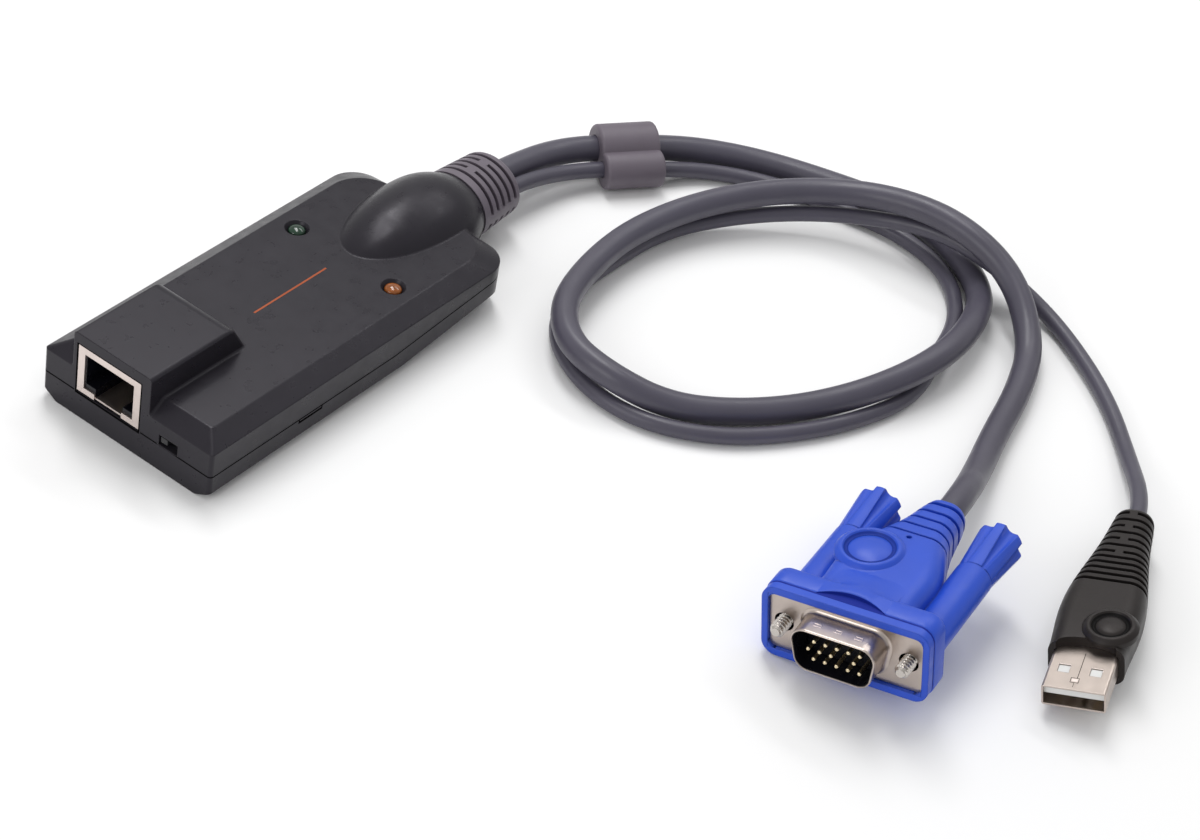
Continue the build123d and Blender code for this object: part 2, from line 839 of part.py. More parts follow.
# Collar that ties the two cables together, bored along their own routes
video_collar_point = Vector(*video_route[3])
data_collar_point = Vector(*data_route[3])

with BuildPart() as video_bore:
    cord_tube(video_route[:6], video_cord_radius + collar_bore_gap)

with BuildPart() as data_bore:
    cord_tube(data_route[:6], data_cord_radius + collar_bore_gap)


def collar_section(distance):
    """Figure-eight outline of the collar, square to its axis."""
    heading = Vector(1, 0, 0).rotate(Axis.Z, collar_heading)
    middle = (video_collar_point + data_collar_point) / 2
    side = Vector(0, 1, 0).rotate(Axis.Z, collar_heading)
    origin = middle + heading * (distance + collar_shift)
    plane = Plane(origin=origin, x_dir=side, z_dir=heading)
    half_spacing = (video_collar_point - data_collar_point).dot(side) / 2
    half_rise = (video_collar_point - data_collar_point).Z / 2
    with BuildSketch(plane) as section:
        with Locations((half_spacing, half_rise)):
            Circle(collar_video_radius)
        with Locations((-half_spacing, -half_rise)):
            Circle(collar_data_radius)
    return section.sketch


with BuildPart() as cable_collar:
    extrude(collar_section(-collar_length / 2), amount=collar_length)
    collar_axis = Axis((0, 0, 0), Vector(1, 0, 0).rotate(Axis.Z, collar_heading))
    collar_ends = cable_collar.edges().group_by(collar_axis)
    fillet(collar_ends[0] + collar_ends[-1], collar_edge_radius)
    add(video_bore.part, mode=Mode.SUBTRACT)
    add(data_bore.part, mode=Mode.SUBTRACT)

cable_collar.part.label = "cable_collar"
export_step(cable_collar.part, "parts/cable_collar.step")


def d_section(distance, inset):
    """D outline of the video plug, the wide side up, set in from the outside of its shell."""
    width = video_shell_width - 2 * inset
    height = video_shell_height - 2 * inset
    lean = height * tan(radians(video_shell_slant))
    with BuildSketch(across(video_plug, distance)) as section:
        with BuildLine():
            Polyline(
                (-width / 2, height / 2),
                (width / 2, height / 2),
                (width / 2 - lean, -height / 2),
                (-width / 2 + lean, -height / 2),
                close=True,
            )
        make_face()
        fillet(section.vertices(), video_shell_corner - inset)
    return section.sketch


# Video plug shell: plate and D-shaped sleeve
with BuildPart() as vga_shell:
    with BuildSketch(across(video_plug, 0)):
        Rectangle(video_plate_width, video_plate_height)
    extrude(amount=video_plate_thickness)
    extrude(d_section(-video_shell_reach, 0), amount=video_shell_reach)
    sleeve_inside = d_section(-video_shell_reach, shell_sheet)
    extrude(sleeve_inside, amount=video_shell_reach + video_plate_thickness, mode=Mode.SUBTRACT)
    fillet(vga_shell.edges().group_by(video_axis)[0], video_shell_lip)
    sleeve_root = vga_shell.edges().filter_by(
        lambda edge: abs(video_plug.to_local_coords(edge.center()).X) < video_shell_lip
        and abs(video_plug.to_local_coords(edge.center()).Y) < video_shell_width / 2 + fit_clearance
        and abs(video_plug.to_local_coords(edge.center()).Z) < video_shell_height / 2 + fit_clearance
    )
    fillet(sleeve_root, video_shell_flare)
    with BuildSketch(across(video_plug, 0)):
        with Locations((screw_offset, 0), (-screw_offset, 0)):
            Circle(screw_well_radius)
    extrude(amount=video_plate_thickness, mode=Mode.SUBTRACT)

vga_shell.part.label = "vga_shell"
export_step(vga_shell.part, "parts/vga_shell.step")

with BuildPart() as vga_insulator:
    insulator_face = d_section(-video_insulator_face, shell_sheet + fit_clearance / 2)
    extrude(insulator_face, amount=video_insulator_face + video_insulator_depth)

vga_insulator.part.label = "vga_insulator"
export_step(vga_insulator.part, "parts/vga_insulator.step")

# Fourteen pins in three rows: the middle row stands half a pitch aside and lacks one
pin_places = []
for column in range(5):
    right = -1.75 * pin_pitch + column * pin_pitch
    pin_places.append((-right, pin_row_spacing))
    pin_places.append((-right, -pin_row_spacing))
    if column != 3:
        pin_places.append((-(right - pin_pitch / 2), 0))

with BuildPart() as vga_pins:
    with BuildSketch(across(video_plug, -video_insulator_face)):
        with Locations(*pin_places):
            Circle(pin_radius)
    extrude(amount=-pin_reach)
    chamfer(vga_pins.edges().group_by(video_axis)[0], pin_tip_chamfer)

vga_pins.part.label = "vga_pins"
export_step(vga_pins.part, "parts/vga_pins.step")

# Sections of the video plug's hood: distance back, half width, half height, corner radius
video_hood_sections = [
    (video_flange_end, 10.4, 6.6, 3.0),
    (13.0, 10.0, 6.8, 3.2),
    (21.0, 9.4, 6.8, 3.4),
    (28.0, 7.1, 6.2, 3.4),
    (36.0, 5.2, 4.8, 3.4),
    (video_hood_length, 3.8, 3.7, 3.5),
]
data_hood_sections = [
    (data_hood_start, 7.2, 4.3, 2.6),
    (17.0, 7.6, 4.6, 3.2),
    (27.5, 7.7, 4.6, 3.4),
    (35.0, 6.6, 4.4, 3.4),
    (44.5, 5.0, 3.9, 3.4),
    (data_hood_length, 3.7, 3.5, 3.3),
]


def hood_body(plug, sections, end_radius):
    """Loft of a plug's hood through its rounded sections, with a rounded end."""
    outlines = []
    for distance, half_width, half_height, corner in sections:
        with BuildSketch(across(plug, distance)) as outline:
            RectangleRounded(2 * half_width, 2 * half_height, corner)
        outlines.append(outline.sketch)
    body = loft(outlines)
    fillet(body.edges().group_by(Axis(plug.origin, plug.x_dir))[-1], end_radius)


def hood_half_sizes(sections, distance):
    """Half width and half height of a hood, straight between the sections on each side."""
    for near, far in zip(sections, sections[1:]):
        if near[0] <= distance <= far[0]:
            share = (distance - near[0]) / (far[0] - near[0])
            half_width = near[1] + (far[1] - near[1]) * share
            half_height = near[2] + (far[2] - near[2]) * share
            return half_width, half_height
    return sections[-1][1], sections[-1][2]


def hood_groove(plug, sections, distance, width, depth, bridge):
    """Ring groove across a hood, in the current part, left uncut over a bridge at its middle."""
    half_width, half_height = hood_half_sizes(sections, distance)
    core_width = 2 * (half_width - depth)
    core_height = 2 * (half_height - depth)
    with BuildSketch(across(plug, distance - width / 2)) as groove:
        Rectangle(4 * half_width, 4 * half_height)
        RectangleRounded(core_width, core_height, 0.46 * min(core_width, core_height), mode=Mode.SUBTRACT)
        if bridge:
            Rectangle(bridge, 4 * half_height, mode=Mode.SUBTRACT)
    extrude(groove.sketch, amount=width, mode=Mode.SUBTRACT)


def hood_badge(plug, at, height, skirt, ring):
    """Round raised ring with a sloping skirt, a dished middle and a dome, standing on a hood."""
    origin = plug.from_local_coords((*at, height))
    with BuildSketch(Plane(origin=origin, x_dir=plug.x_dir, z_dir=-plug.y_dir)) as profile:
        with BuildLine():
            Polyline(
                (0, badge_rise),
                (0, -badge_root),
                (skirt, -badge_root),
                (skirt, 0),
                (ring + badge_lip, badge_rise),
                (ring, badge_rise),
                (ring - badge_slope, 0),
                (badge_dome_radius, 0),
            )
            Spline(
                (badge_dome_radius, 0),
                (0.6 * badge_dome_radius, 0.75 * badge_rise),
                (0, badge_rise),
                tangents=((-1, 1), (-1, 0)),
            )
        make_face()
    revolve(profile.sketch, axis=Axis(origin, plug.z_dir))


# Video plug hood: rim, flange, tapered and grooved body, two sleeves for the thumbscrews
with BuildPart() as vga_hood:
    hood_body(video_plug, video_hood_sections, video_hood_end_radius)
    for number in range(groove_count):
        place = groove_start + number * groove_pitch
        growth = number * groove_growth
        hood_groove(
            video_plug, video_hood_sections, place, groove_width + growth, groove_depth + growth, 0
        )
    # Waist behind the rim, then the flange with a crescent cut in the middle of its upper edge
    waist_inset = 4 * video_flange_inset
    flange_inset = 2 * video_flange_inset
    with BuildSketch(across(video_plug, video_flange_start)):
        RectangleRounded(
            video_rim_width - flange_inset, video_rim_height - flange_inset, video_rim_corner
        )
    extrude(amount=video_flange_end - video_flange_start)
    with BuildSketch(level(video_plug, (video_rim_height - waist_inset) / 2)) as crescent:
        with Locations((video_flange_start, 0)):
            Ellipse(video_crescent_half_length, video_crescent_half_width)
    extrude(crescent.sketch, amount=waist_inset, mode=Mode.SUBTRACT)
    with BuildSketch(across(video_plug, video_rim_depth)):
        RectangleRounded(
            video_rim_width - waist_inset, video_rim_height - waist_inset, video_rim_corner
        )
    extrude(amount=video_flange_start - video_rim_depth)
    with BuildSketch(across(video_plug, -video_rim_lip)):
        RectangleRounded(video_rim_width, video_rim_height, video_rim_corner)
    extrude(amount=video_rim_lip + video_rim_depth)
    with BuildSketch(across(video_plug, video_flange_end)):
        with Locations((screw_offset, 0), (-screw_offset, 0)):
            Circle(sleeve_radius)
    extrude(amount=sleeve_end - video_flange_end)
    hood_top = video_hood_sections[2][2]
    hood_badge(video_plug, video_badge_at, hood_top, video_badge_skirt, video_badge_ring)
    with BuildSketch(level(video_plug, hood_top)) as mark_hole:
        with Locations((video_mark_hole_at, 0)):
            Circle(video_mark_hole_radius)
    extrude(mark_hole.sketch, amount=-video_mark_hole_depth, mode=Mode.SUBTRACT)
    # Seat of the plate, room for the insulator and the bores of the thumbscrews
    with BuildSketch(across(video_plug, -video_rim_lip)):
        Rectangle(video_plate_width + 2 * fit_clearance, video_plate_height + 2 * fit_clearance)
    extrude(amount=video_rim_lip + video_plate_thickness, mode=Mode.SUBTRACT)
    insulator_room = d_section(video_plate_thickness, shell_sheet)
    extrude(insulator_room, amount=video_insulator_depth - video_plate_thickness, mode=Mode.SUBTRACT)
    with BuildSketch(across(video_plug, 0)):
        with Locations((screw_offset, 0), (-screw_offset, 0)):
            Circle(screw_radius + screw_running_gap)
    extrude(amount=sleeve_end, mode=Mode.SUBTRACT)
    with BuildSketch(across(video_plug, 0)):
        with Locations((screw_offset, 0), (-screw_offset, 0)):
            Circle(screw_well_radius)
    extrude(amount=screw_well_depth, mode=Mode.SUBTRACT)

vga_hood.part.label = "vga_hood"
export_step(vga_hood.part, "parts/vga_hood.step")

# Thumbscrews: a shaft through the sleeve and a fluted grip pressed on its end
grip_start = sleeve_end + grip_gap
for side_name, side in (("left", 1), ("right", -1)):
    with BuildPart() as screw:
        with BuildSketch(across(video_plug, -screw_tip)):
            with Locations((side * screw_offset, 0)):
                Circle(screw_radius)
        extrude(amount=screw_tip + grip_start + grip_socket_depth)
        chamfer(screw.edges().group_by(video_axis)[0], screw_tip_chamfer)
    screw.part.label = f"vga_screw_{side_name}"
    export_step(screw.part, f"parts/vga_screw_{side_name}.step")

    with BuildPart() as grip:
        for distance, radius in (
            (grip_start, grip_front_radius),
            (grip_start + grip_length, grip_rear_radius),
        ):
            with BuildSketch(across(video_plug, distance)):
                with Locations((side * screw_offset, 0)):
                    Circle(radius)
        loft()
        fillet(grip.edges().group_by(video_axis)[-1], grip_end_radius)
        # Flutes that start narrow and flare towards the free end
        for number in range(grip_flutes):
            flute = []
            for distance, at_radius, radius in (
                (grip_start, grip_front_radius, grip_flute_start_radius),
                (grip_start + grip_length, grip_rear_radius, grip_flute_end_radius),
            ):
                with BuildSketch(across(video_plug, distance)) as outline:
                    with Locations((side * screw_offset, 0)):
                        with PolarLocations(at_radius + radius / 4, 1, 360 * number / grip_flutes):
                            Circle(radius)
                flute.append(outline.sketch)
            loft(flute, mode=Mode.SUBTRACT)
        with BuildSketch(across(video_plug, grip_start)):
            with Locations((side * screw_offset, 0)):
                Circle(screw_radius + screw_running_gap / 2)
        extrude(amount=grip_socket_depth, mode=Mode.SUBTRACT)
    grip.part.label = f"vga_grip_{side_name}"
    export_step(grip.part, f"parts/vga_grip_{side_name}.step")

# Data plug: sheet shell with two latch holes in each broad side
with BuildPart() as usb_shell:
    with BuildSketch(across(data_plug, 0)):
        RectangleRounded(data_shell_width, data_shell_height, data_shell_corner)
        Rectangle(
            data_shell_width - 2 * data_shell_sheet,
            data_shell_height - 2 * data_shell_sheet,
            mode=Mode.SUBTRACT,
        )
    extrude(amount=data_shell_length)
    with BuildSketch(level(data_plug, -data_shell_height)):
        with Locations((latch_hole_at, latch_hole_spacing / 2), (latch_hole_at, -latch_hole_spacing / 2)):
            Rectangle(latch_hole_size, latch_hole_size)
    extrude(amount=2 * data_shell_height, mode=Mode.SUBTRACT)

usb_shell.part.label = "usb_shell"
export_step(usb_shell.part, "parts/usb_shell.step")

tongue_top = data_shell_height / 2 - data_shell_sheet
tongue_width = data_shell_width - 2 * data_shell_sheet

with BuildPart() as usb_insulator:
    with BuildSketch(across(data_plug, tongue_setback)):
        with Locations((0, tongue_top)):
            Rectangle(tongue_width, tongue_thickness, align=(Align.CENTER, Align.MAX))
    extrude(amount=data_hood_start - tongue_setback)
    with BuildSketch(across(data_plug, data_hood_start)):
        Rectangle(tongue_width, 2 * tongue_top)
    extrude(amount=data_shell_length - data_hood_start)

usb_insulator.part.label = "usb_insulator"
export_step(usb_insulator.part, "parts/usb_insulator.step")

with BuildPart() as usb_contacts:
    contact_face = tongue_top - tongue_thickness
    first_strip = -data_contact_pitch * (data_contact_count - 1) / 2
    with BuildSketch(level(data_plug, contact_face)):
        for number in range(data_contact_count):
            strip_x = tongue_setback + 1 + data_contact_length / 2
            with Locations((strip_x, first_strip + number * data_contact_pitch)):
                Rectangle(data_contact_length, data_contact_width)
    extrude(amount=-data_contact_thickness)

usb_contacts.part.label = "usb_contacts"
export_step(usb_contacts.part, "parts/usb_contacts.step")

with BuildPart() as usb_hood:
    hood_body(data_plug, data_hood_sections, data_hood_end_radius)
    for number in range(data_full_grooves):
        place = data_groove_start + number * data_groove_pitch
        hood_groove(data_plug, data_hood_sections, place, data_groove_width, data_groove_depth, 0)
    for number in range(data_split_rows):
        place = data_split_start + number * data_split_pitch
        hood_groove(
            data_plug, data_hood_sections, place, data_groove_width, data_groove_depth, data_split_bridge
        )
        if number + 1 < data_split_rows:
            place += data_split_pitch / 2
            hood_groove(data_plug, data_hood_sections, place, data_groove_width, data_groove_depth, 0)
    hood_badge(
        data_plug, data_badge_at, data_hood_sections[1][2], data_badge_skirt, data_badge_ring
    )
    # Arched upper edge of the mouth
    with BuildSketch(level(data_plug, data_shell_height / 2)) as arch:
        with Locations((data_hood_start, 0)):
            Ellipse(data_arch_half_length, data_arch_half_width)
    extrude(arch.sketch, amount=data_shell_height, mode=Mode.SUBTRACT)
    with BuildSketch(across(data_plug, data_hood_start)):
        Rectangle(data_shell_width, data_shell_height)
    extrude(amount=data_shell_length - data_hood_start, mode=Mode.SUBTRACT)

usb_hood.part.label = "usb_hood"
export_step(usb_hood.part, "parts/usb_hood.step")
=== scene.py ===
"""Looks of the server console adapter: cables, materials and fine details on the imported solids.

Sizes and places are in millimetres, in the same frame as the solids, and MM turns them into
metres. Only the lights and the floor are placed in metres.
"""
import bpy
import bmesh
from math import cos, pi, radians, sin, sqrt, tan
from mathutils import Matrix, Vector
from mathutils.bvhtree import BVHTree


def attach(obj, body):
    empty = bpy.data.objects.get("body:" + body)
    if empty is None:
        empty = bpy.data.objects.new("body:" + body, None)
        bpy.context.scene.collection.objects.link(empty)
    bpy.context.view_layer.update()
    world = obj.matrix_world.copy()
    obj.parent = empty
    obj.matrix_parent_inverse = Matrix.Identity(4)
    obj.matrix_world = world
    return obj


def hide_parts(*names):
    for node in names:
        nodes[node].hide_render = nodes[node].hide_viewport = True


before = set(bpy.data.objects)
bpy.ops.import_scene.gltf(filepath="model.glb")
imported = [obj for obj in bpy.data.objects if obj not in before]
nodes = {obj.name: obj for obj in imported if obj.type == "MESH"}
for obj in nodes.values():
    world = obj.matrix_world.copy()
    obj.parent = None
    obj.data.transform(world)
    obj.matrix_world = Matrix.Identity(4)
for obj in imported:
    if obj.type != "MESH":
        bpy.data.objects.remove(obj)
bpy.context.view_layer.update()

MM = 0.001
BODY = "adapter"

# Housing: deck, corners, cable boss, socket in the front and boot behind
DECK_HEIGHT = 13.8
HALF_LENGTH, HALF_WIDTH = 45.0, 21.6
FRONT_CORNER_RADIUS, REAR_CORNER_RADIUS = 1.0, 6.5
BOSS_PEAK, BOSS_HALF_WIDTH, BOSS_REACH, BOSS_END = 41.0, 11.75, 16.5, 52.4
JACK_NEAR, JACK_FAR, JACK_FOOT, JACK_TOP = -3.1, 12.9, 6.0, 17.4
BOOT_START, BOOT_END = 52.5, 65.6
CABLE_AXIS_HEIGHT = 9.05

# Joint of the housing's halves: height, rise towards the cable, and the step round a small tab
JOINT_HEIGHT, JOINT_REAR_HEIGHT, JOINT_RISE_START = 6.0, 9.05, 8.0
JOINT_LINE_WIDTH = 0.28
JOINT_TAB_START, JOINT_TAB_END, JOINT_TAB_FOOT = -20.1, -13.5, 5.3

# The joint line keeps clear of the socket, and its sight lines start this far off the housing
JACK_MARGIN = 0.6
SIGHT = 5.0

# How far thin dark pieces stand over a surface, and how deep they reach into it
LINE_RISE, LINE_SINK = 0.02, 0.1

# Width of the painted shade in the gap round the socket's shield, on each side of it
GAP_FAR, GAP_NEAR, GAP_FOOT, GAP_TOP = 0.42, 0.3, 0.5, 0.25

# Status lights and the printed line on the deck
LIGHT_X, LIGHT_Y, LIGHT_RADIUS, LIGHT_FOOT, LIGHT_DOME_RISE = 17.0, 12.8, 1.8, 13.05, 0.95
RULE_START, RULE_END, RULE_Y, RULE_WIDTH = -9.9, 11.4, 0.1, 0.42
RULE_SINK, RULE_RISE = 0.02, 0.015

# Smallest radius of a ring that closes a dome, and the angle from which an edge shades sharp
TIP_RADIUS = 0.02
SHARP_ANGLE = 35

# Cables
VIDEO_CORD_DIAMETER, VIDEO_CORD_LENGTH = 5.7, 482.0
DATA_CORD_DIAMETER, DATA_CORD_LENGTH = 3.5, 463.5

# Plugs: place of the face, heading of the axis towards the cable, roll about it
VIDEO_PLUG = ((2.4, -133.3, 10.7), 7.0, -11.4)
DATA_PLUG = ((25.9, -169.7, 5.8), 17.2, -14.9)
VIDEO_HOOD_LENGTH = 44.0
DATA_HOOD_LENGTH = 55.2
CORD_LEAD_OUT = 6.8

# Video plug: face plate and D-shaped sleeve, distances counted back from the plate's front
PLATE_WIDTH, PLATE_HEIGHT, PLATE_THICKNESS = 30.8, 12.3, 0.8
PLATE_HOLE_RADIUS = 1.95
PLATE_CORNER_RADIUS = 1.5
SLEEVE_INSIDE_WIDTH, SLEEVE_INSIDE_HEIGHT = 17.1, 8.5
SLEEVE_SLANT = 10.0
SLEEVE_SHEET = 0.34
SLEEVE_REACH = 5.9
SLEEVE_FLARE = 0.9
SLEEVE_CORNER = 2.6
SLEEVE_LIP = 0.3
DIMPLE_AT, DIMPLE_SPACING, DIMPLE_DEPTH = -3.4, 4.1, 0.3
DIMPLE_HALF_LENGTH, DIMPLE_HALF_WIDTH = 0.55, 0.8
DIMPLE_OUTSIDE, DIMPLE_SLOPE = 1.25, 0.35
DIMPLE_EDGE_START, DIMPLE_EDGE_END = 0.27, 0.42
INSULATOR_FACE, INSULATOR_BACK = -0.6, 4.9
INSULATOR_BACK_SIZE = (15.8, 7.3, 1.9)

# Thumbscrews: shaft, thread on its tip, and the recess round it
SCREW_OFFSET = 12.5
SCREW_RADIUS = 1.42
SCREW_TIP = -3.7
SCREW_END = 37.3
THREAD_ROOT = 0.98
THREAD_CREST = 1.5
THREAD_PITCH = 0.78
THREAD_END = 2.6
THREAD_FLANK = 1.7
SCREW_TIP_RADIUS, SCREW_TIP_SLOPE = 0.85, 0.9
SCREW_SHOULDER = 0.3
WELL_RADIUS = 2.25
WELL_DEPTH = 3.0

# Video hood: rim, groove, flange, and the crescent cut with the crown behind it
GROOVE_START, GROOVE_END = 1.05, 1.4
FLANGE_END = 6.0
RIM_HALF_WIDTH, RIM_HALF_HEIGHT, RIM_CORNER = 16.8, 7.8, 3.0
FLANGE_RISE = 0.16
CRESCENT_HALF_WIDTH, CRESCENT_DEPTH, CROWN_RISE = 6.8, 1.7, 0.8
CROWN_END = 12.5
HOOD_TOP = 6.8

# Spacing of points along rounded outlines, and the lean from which a wall counts as the top
SLEEVE_SPACING, RIM_SPACING = 0.2, 0.4
FACING_UP = 0.99

# Round badges: place back and left, height of the hood there, radius of the ring's crest
VIDEO_BADGE = (19.0, 4.5, 6.8, 5.5)
DATA_BADGE = (16.3, -3.4, 4.6, 4.2)
BADGE_COUNT = 64

# Section of a badge. Its ring and the shadow in its dish are pairs of distance out from the
# crest and rise; its dome is pairs of share of the crest's radius and rise.
BADGE_RING = (
    (1.15, -0.5), (1.12, 0.02), (0.85, 0.3), (0.55, 0.62), (0.25, 0.84), (0.0, 0.9),
    (-0.3, 0.85), (-0.6, 0.5), (-0.85, 0.17), (-1.1, 0.07), (-1.35, 0.2),
)
BADGE_DISH = (
    (-0.58, 0.53), (-0.72, 0.36), (-0.87, 0.17), (-1.1, 0.09), (-1.33, 0.2), (-1.42, 0.27),
)
BADGE_DOME = ((0.62, 0.46), (0.5, 0.66), (0.3, 0.82), (0.15, 0.9))
BADGE_TOP = 0.92

# Data plug: seam and catch on top of the shell, latch holes
SHELL_TOP = 2.25
SEAM_START, SEAM_END, SEAM_HALF_WIDTH = 3.3, 10.6, 0.06
CATCH_LENGTH, CATCH_RIGHT, CATCH_LEFT = 1.3, -0.4, 1.1
CUT_HALF_WIDTH = 0.05
LATCH_AT, LATCH_OFFSET, LATCH_SIZE = 5.6, 3.0, 2.2

# Camera, fitted to the photograph
CAMERA_AZIMUTH = -60.01
CAMERA_ELEVATION = 39.46
CAMERA_ROLL = 11.28
CAMERA_DISTANCE = 607.12
CAMERA_TARGET = (29.73, -58.0, 0.0)
CAMERA_LENS = 91.56
CAMERA_SENSOR = 36.0

# Floor, in metres
FLOOR_HALF_SIZE = 3.0
FLOOR_DROP = 0.0001

# Lights, in metres: name, place, size and power of each, and what they look at
LIGHTS = (
    ("overhead", (0.235, 0.22, 0.76), (0.2, 0.6), 3.1),
    ("left_window", (-0.75, 0.1, 0.4), (0.4, 0.4), 1.6),
    ("edge_strip", (0.54, -0.04, 0.58), (0.5, 0.1), 0.7),
)
LIGHT_TARGET = (0.04, -0.05, 0.01)

# Surroundings: bright towards the back, dimmer on the near side, changing between two reaches
BRIGHT_SIDE = (0.25, 0.9, 0.35)
BRIGHT_STRENGTH = 0.68
DIM_STRENGTH = 0.5
SIDE_REACH = 0.7


def plug_frame(plug):
    """Matrix of a plug, in millimetres: x runs back from its face, y to its left, z up from it."""
    at, heading, roll = plug
    turn, lean = radians(heading), radians(roll)
    back = Vector((cos(turn), sin(turn), 0))
    up = Vector((sin(lean) * sin(turn), -sin(lean) * cos(turn), cos(lean)))
    left = up.cross(back)
    matrix = Matrix((back, left, up)).transposed().to_4x4()
    matrix.translation = Vector(at)
    return matrix


video_frame = plug_frame(VIDEO_PLUG)
data_frame = plug_frame(DATA_PLUG)


def point_back(plug, distance):
    """Point on a plug's axis, in millimetres."""
    return tuple(plug @ Vector((distance, 0, 0)))


# Routes of the cables, the same points as in the solids, in millimetres
VIDEO_ROUTE = [
    (BOOT_END, 1.9, 7.9),
    (72.5, 1.9, 7.9),
    (90.0, 0.0, 5.9),
    (102.5, -9.2, 5.8),
    (116.0, -18.3, 4.0),
    (125.3, -30.9, 2.9),
    (130.6, -46.3, 2.9),
    (134.6, -61.7, 2.9),
    (131.3, -77.8, 2.9),
    (122.3, -91.3, 3.2),
    (107.3, -97.5, 6.3),
    (91.5, -99.5, 7.6),
    (75.7, -95.7, 6.2),
    (62.3, -87.5, 3.3),
    (49.4, -77.9, 2.9),
    (39.5, -67.0, 3.6),
    (34.6, -55.0, 7.0),
    (36.4, -43.3, 7.4),
    (45.8, -34.6, 7.1),
    (60.0, -30.6, 6.9),
    (75.5, -29.3, 6.9),
    (91.3, -32.7, 7.7),
    (105.4, -39.9, 8.9),
    (118.0, -50.4, 9.8),
    (124.6, -64.7, 12.3),
    (124.9, -81.0, 14.4),
    (123.7, -96.5, 10.0),
    (114.6, -108.4, 3.4),
    (99.3, -114.4, 2.9),
    (83.9, -118.0, 2.9),
    (68.5, -122.6, 4.4),
    point_back(video_frame, VIDEO_HOOD_LENGTH + CORD_LEAD_OUT),
    point_back(video_frame, VIDEO_HOOD_LENGTH),
]
DATA_ROUTE = [
    (BOOT_END, -3.0, 7.7),
    (72.0, -3.0, 7.7),
    (88.8, -6.1, 4.4),
    (100.3, -15.4, 4.3),
    (113.7, -23.4, 2.1),
    (121.8, -36.6, 1.8),
    (125.3, -51.5, 1.9),
    (128.1, -66.8, 1.8),
    (123.9, -81.7, 1.9),
    (111.8, -92.0, 1.8),
    (96.7, -95.7, 1.9),
    (81.8, -99.3, 1.8),
    (66.5, -95.3, 1.9),
    (52.9, -88.2, 1.8),
    (40.8, -78.4, 1.9),
    (33.2, -64.5, 1.8),
    (33.9, -49.0, 1.9),
    (42.6, -35.3, 1.8),
    (57.1, -29.5, 1.9),
    (72.5, -29.3, 1.8),
    (88.0, -30.4, 1.9),
    (101.7, -37.5, 2.9),
    (113.0, -47.9, 4.6),
    (122.2, -60.1, 5.9),
    (126.1, -75.1, 9.0),
    (126.7, -90.2, 7.9),
    (128.7, -104.4, 1.8),
    (120.4, -118.3, 1.9),
    (111.2, -130.2, 1.8),
    (99.4, -141.1, 1.9),
    point_back(data_frame, DATA_HOOD_LENGTH + CORD_LEAD_OUT),
    point_back(data_frame, DATA_HOOD_LENGTH),
]


# Materials

class Surface:
    """A node material under construction, with procedural colour, gloss and relief."""

    # Sockets of the Mix node for colours
    MIX_DARK, MIX_LIGHT, MIX_RESULT = 6, 7, 2

    # Range in which most of a noise texture's values lie
    NOISE_LOW, NOISE_HIGH = 0.3, 0.7

    def __init__(self, name, color, roughness, metallic=0.0):
        self.material = bpy.data.materials.new(name)
        self.material.use_nodes = True
        self.tree = self.material.node_tree
        self.shader = self.tree.nodes["Principled BSDF"]
        self.color = color
        self.shader.inputs["Base Color"].default_value = (*color, 1)
        self.shader.inputs["Roughness"].default_value = roughness
        self.shader.inputs["Metallic"].default_value = metallic
        self.place = self.node("ShaderNodeTexCoord").outputs["Object"]
        self.relief = None

    def node(self, kind, **values):
        """New node, with its named inputs set."""
        made = self.tree.nodes.new(kind)
        for name, value in values.items():
            made.inputs[name.replace("_", " ")].default_value = value
        return made

    def link(self, source, target):
        self.tree.links.new(source, target)

    def noise(self, size, detail=2.0):
        """Noise of a grain size in millimetres."""
        texture = self.node("ShaderNodeTexNoise", Scale=1 / (size * MM), Detail=detail)
        self.link(self.place, texture.inputs["Vector"])
        return texture.outputs["Fac"]

    def spread(self, source, low, high):
        """Maps a noise texture's values to a range."""
        mapper = self.node(
            "ShaderNodeMapRange",
            From_Min=self.NOISE_LOW, From_Max=self.NOISE_HIGH, To_Min=low, To_Max=high,
        )
        self.link(source, mapper.inputs["Value"])
        return mapper.outputs["Result"]

    def vary_color(self, size, amount):
        """Colour that wanders between a darker and a lighter tone."""
        blend = self.node("ShaderNodeMix")
        blend.data_type = "RGBA"
        dark = [channel * (1 - amount) for channel in self.color]
        light = [min(1, channel * (1 + amount)) for channel in self.color]
        blend.inputs[self.MIX_DARK].default_value = (*dark, 1)
        blend.inputs[self.MIX_LIGHT].default_value = (*light, 1)
        self.link(self.spread(self.noise(size, detail=4.0), 0, 1), blend.inputs[0])
        self.link(blend.outputs[self.MIX_RESULT], self.shader.inputs["Base Color"])

    def vary_gloss(self, size, low, high):
        """Roughness that wanders between two values."""
        gloss = self.spread(self.noise(size, detail=3.0), low, high)
        self.link(gloss, self.shader.inputs["Roughness"])

    def add_relief(self, made):
        """Puts a node that bends the surface's normals after those that are there."""
        if self.relief:
            self.link(self.relief, made.inputs["Normal"])
        self.relief = made.outputs["Normal"]
        self.link(self.relief, self.shader.inputs["Normal"])

    def bump(self, source, height):
        """Relief of a height in millimetres."""
        made = self.node("ShaderNodeBump", Strength=1.0, Distance=height * MM)
        self.link(source, made.inputs["Height"])
        self.add_relief(made)

    def soften_edges(self, radius):
        """Rounds sharp edges in shading, by a radius in millimetres."""
        made = self.node("ShaderNodeBevel", Radius=radius * MM)
        made.samples = 6
        self.add_relief(made)

    def shine(self, level, tint=(1, 1, 1)):
        """Strength and tint of the clear reflection, 0.5 for ordinary plastic."""
        self.shader.inputs["Specular IOR Level"].default_value = level
        self.shader.inputs["Specular Tint"].default_value = (*tint, 1)


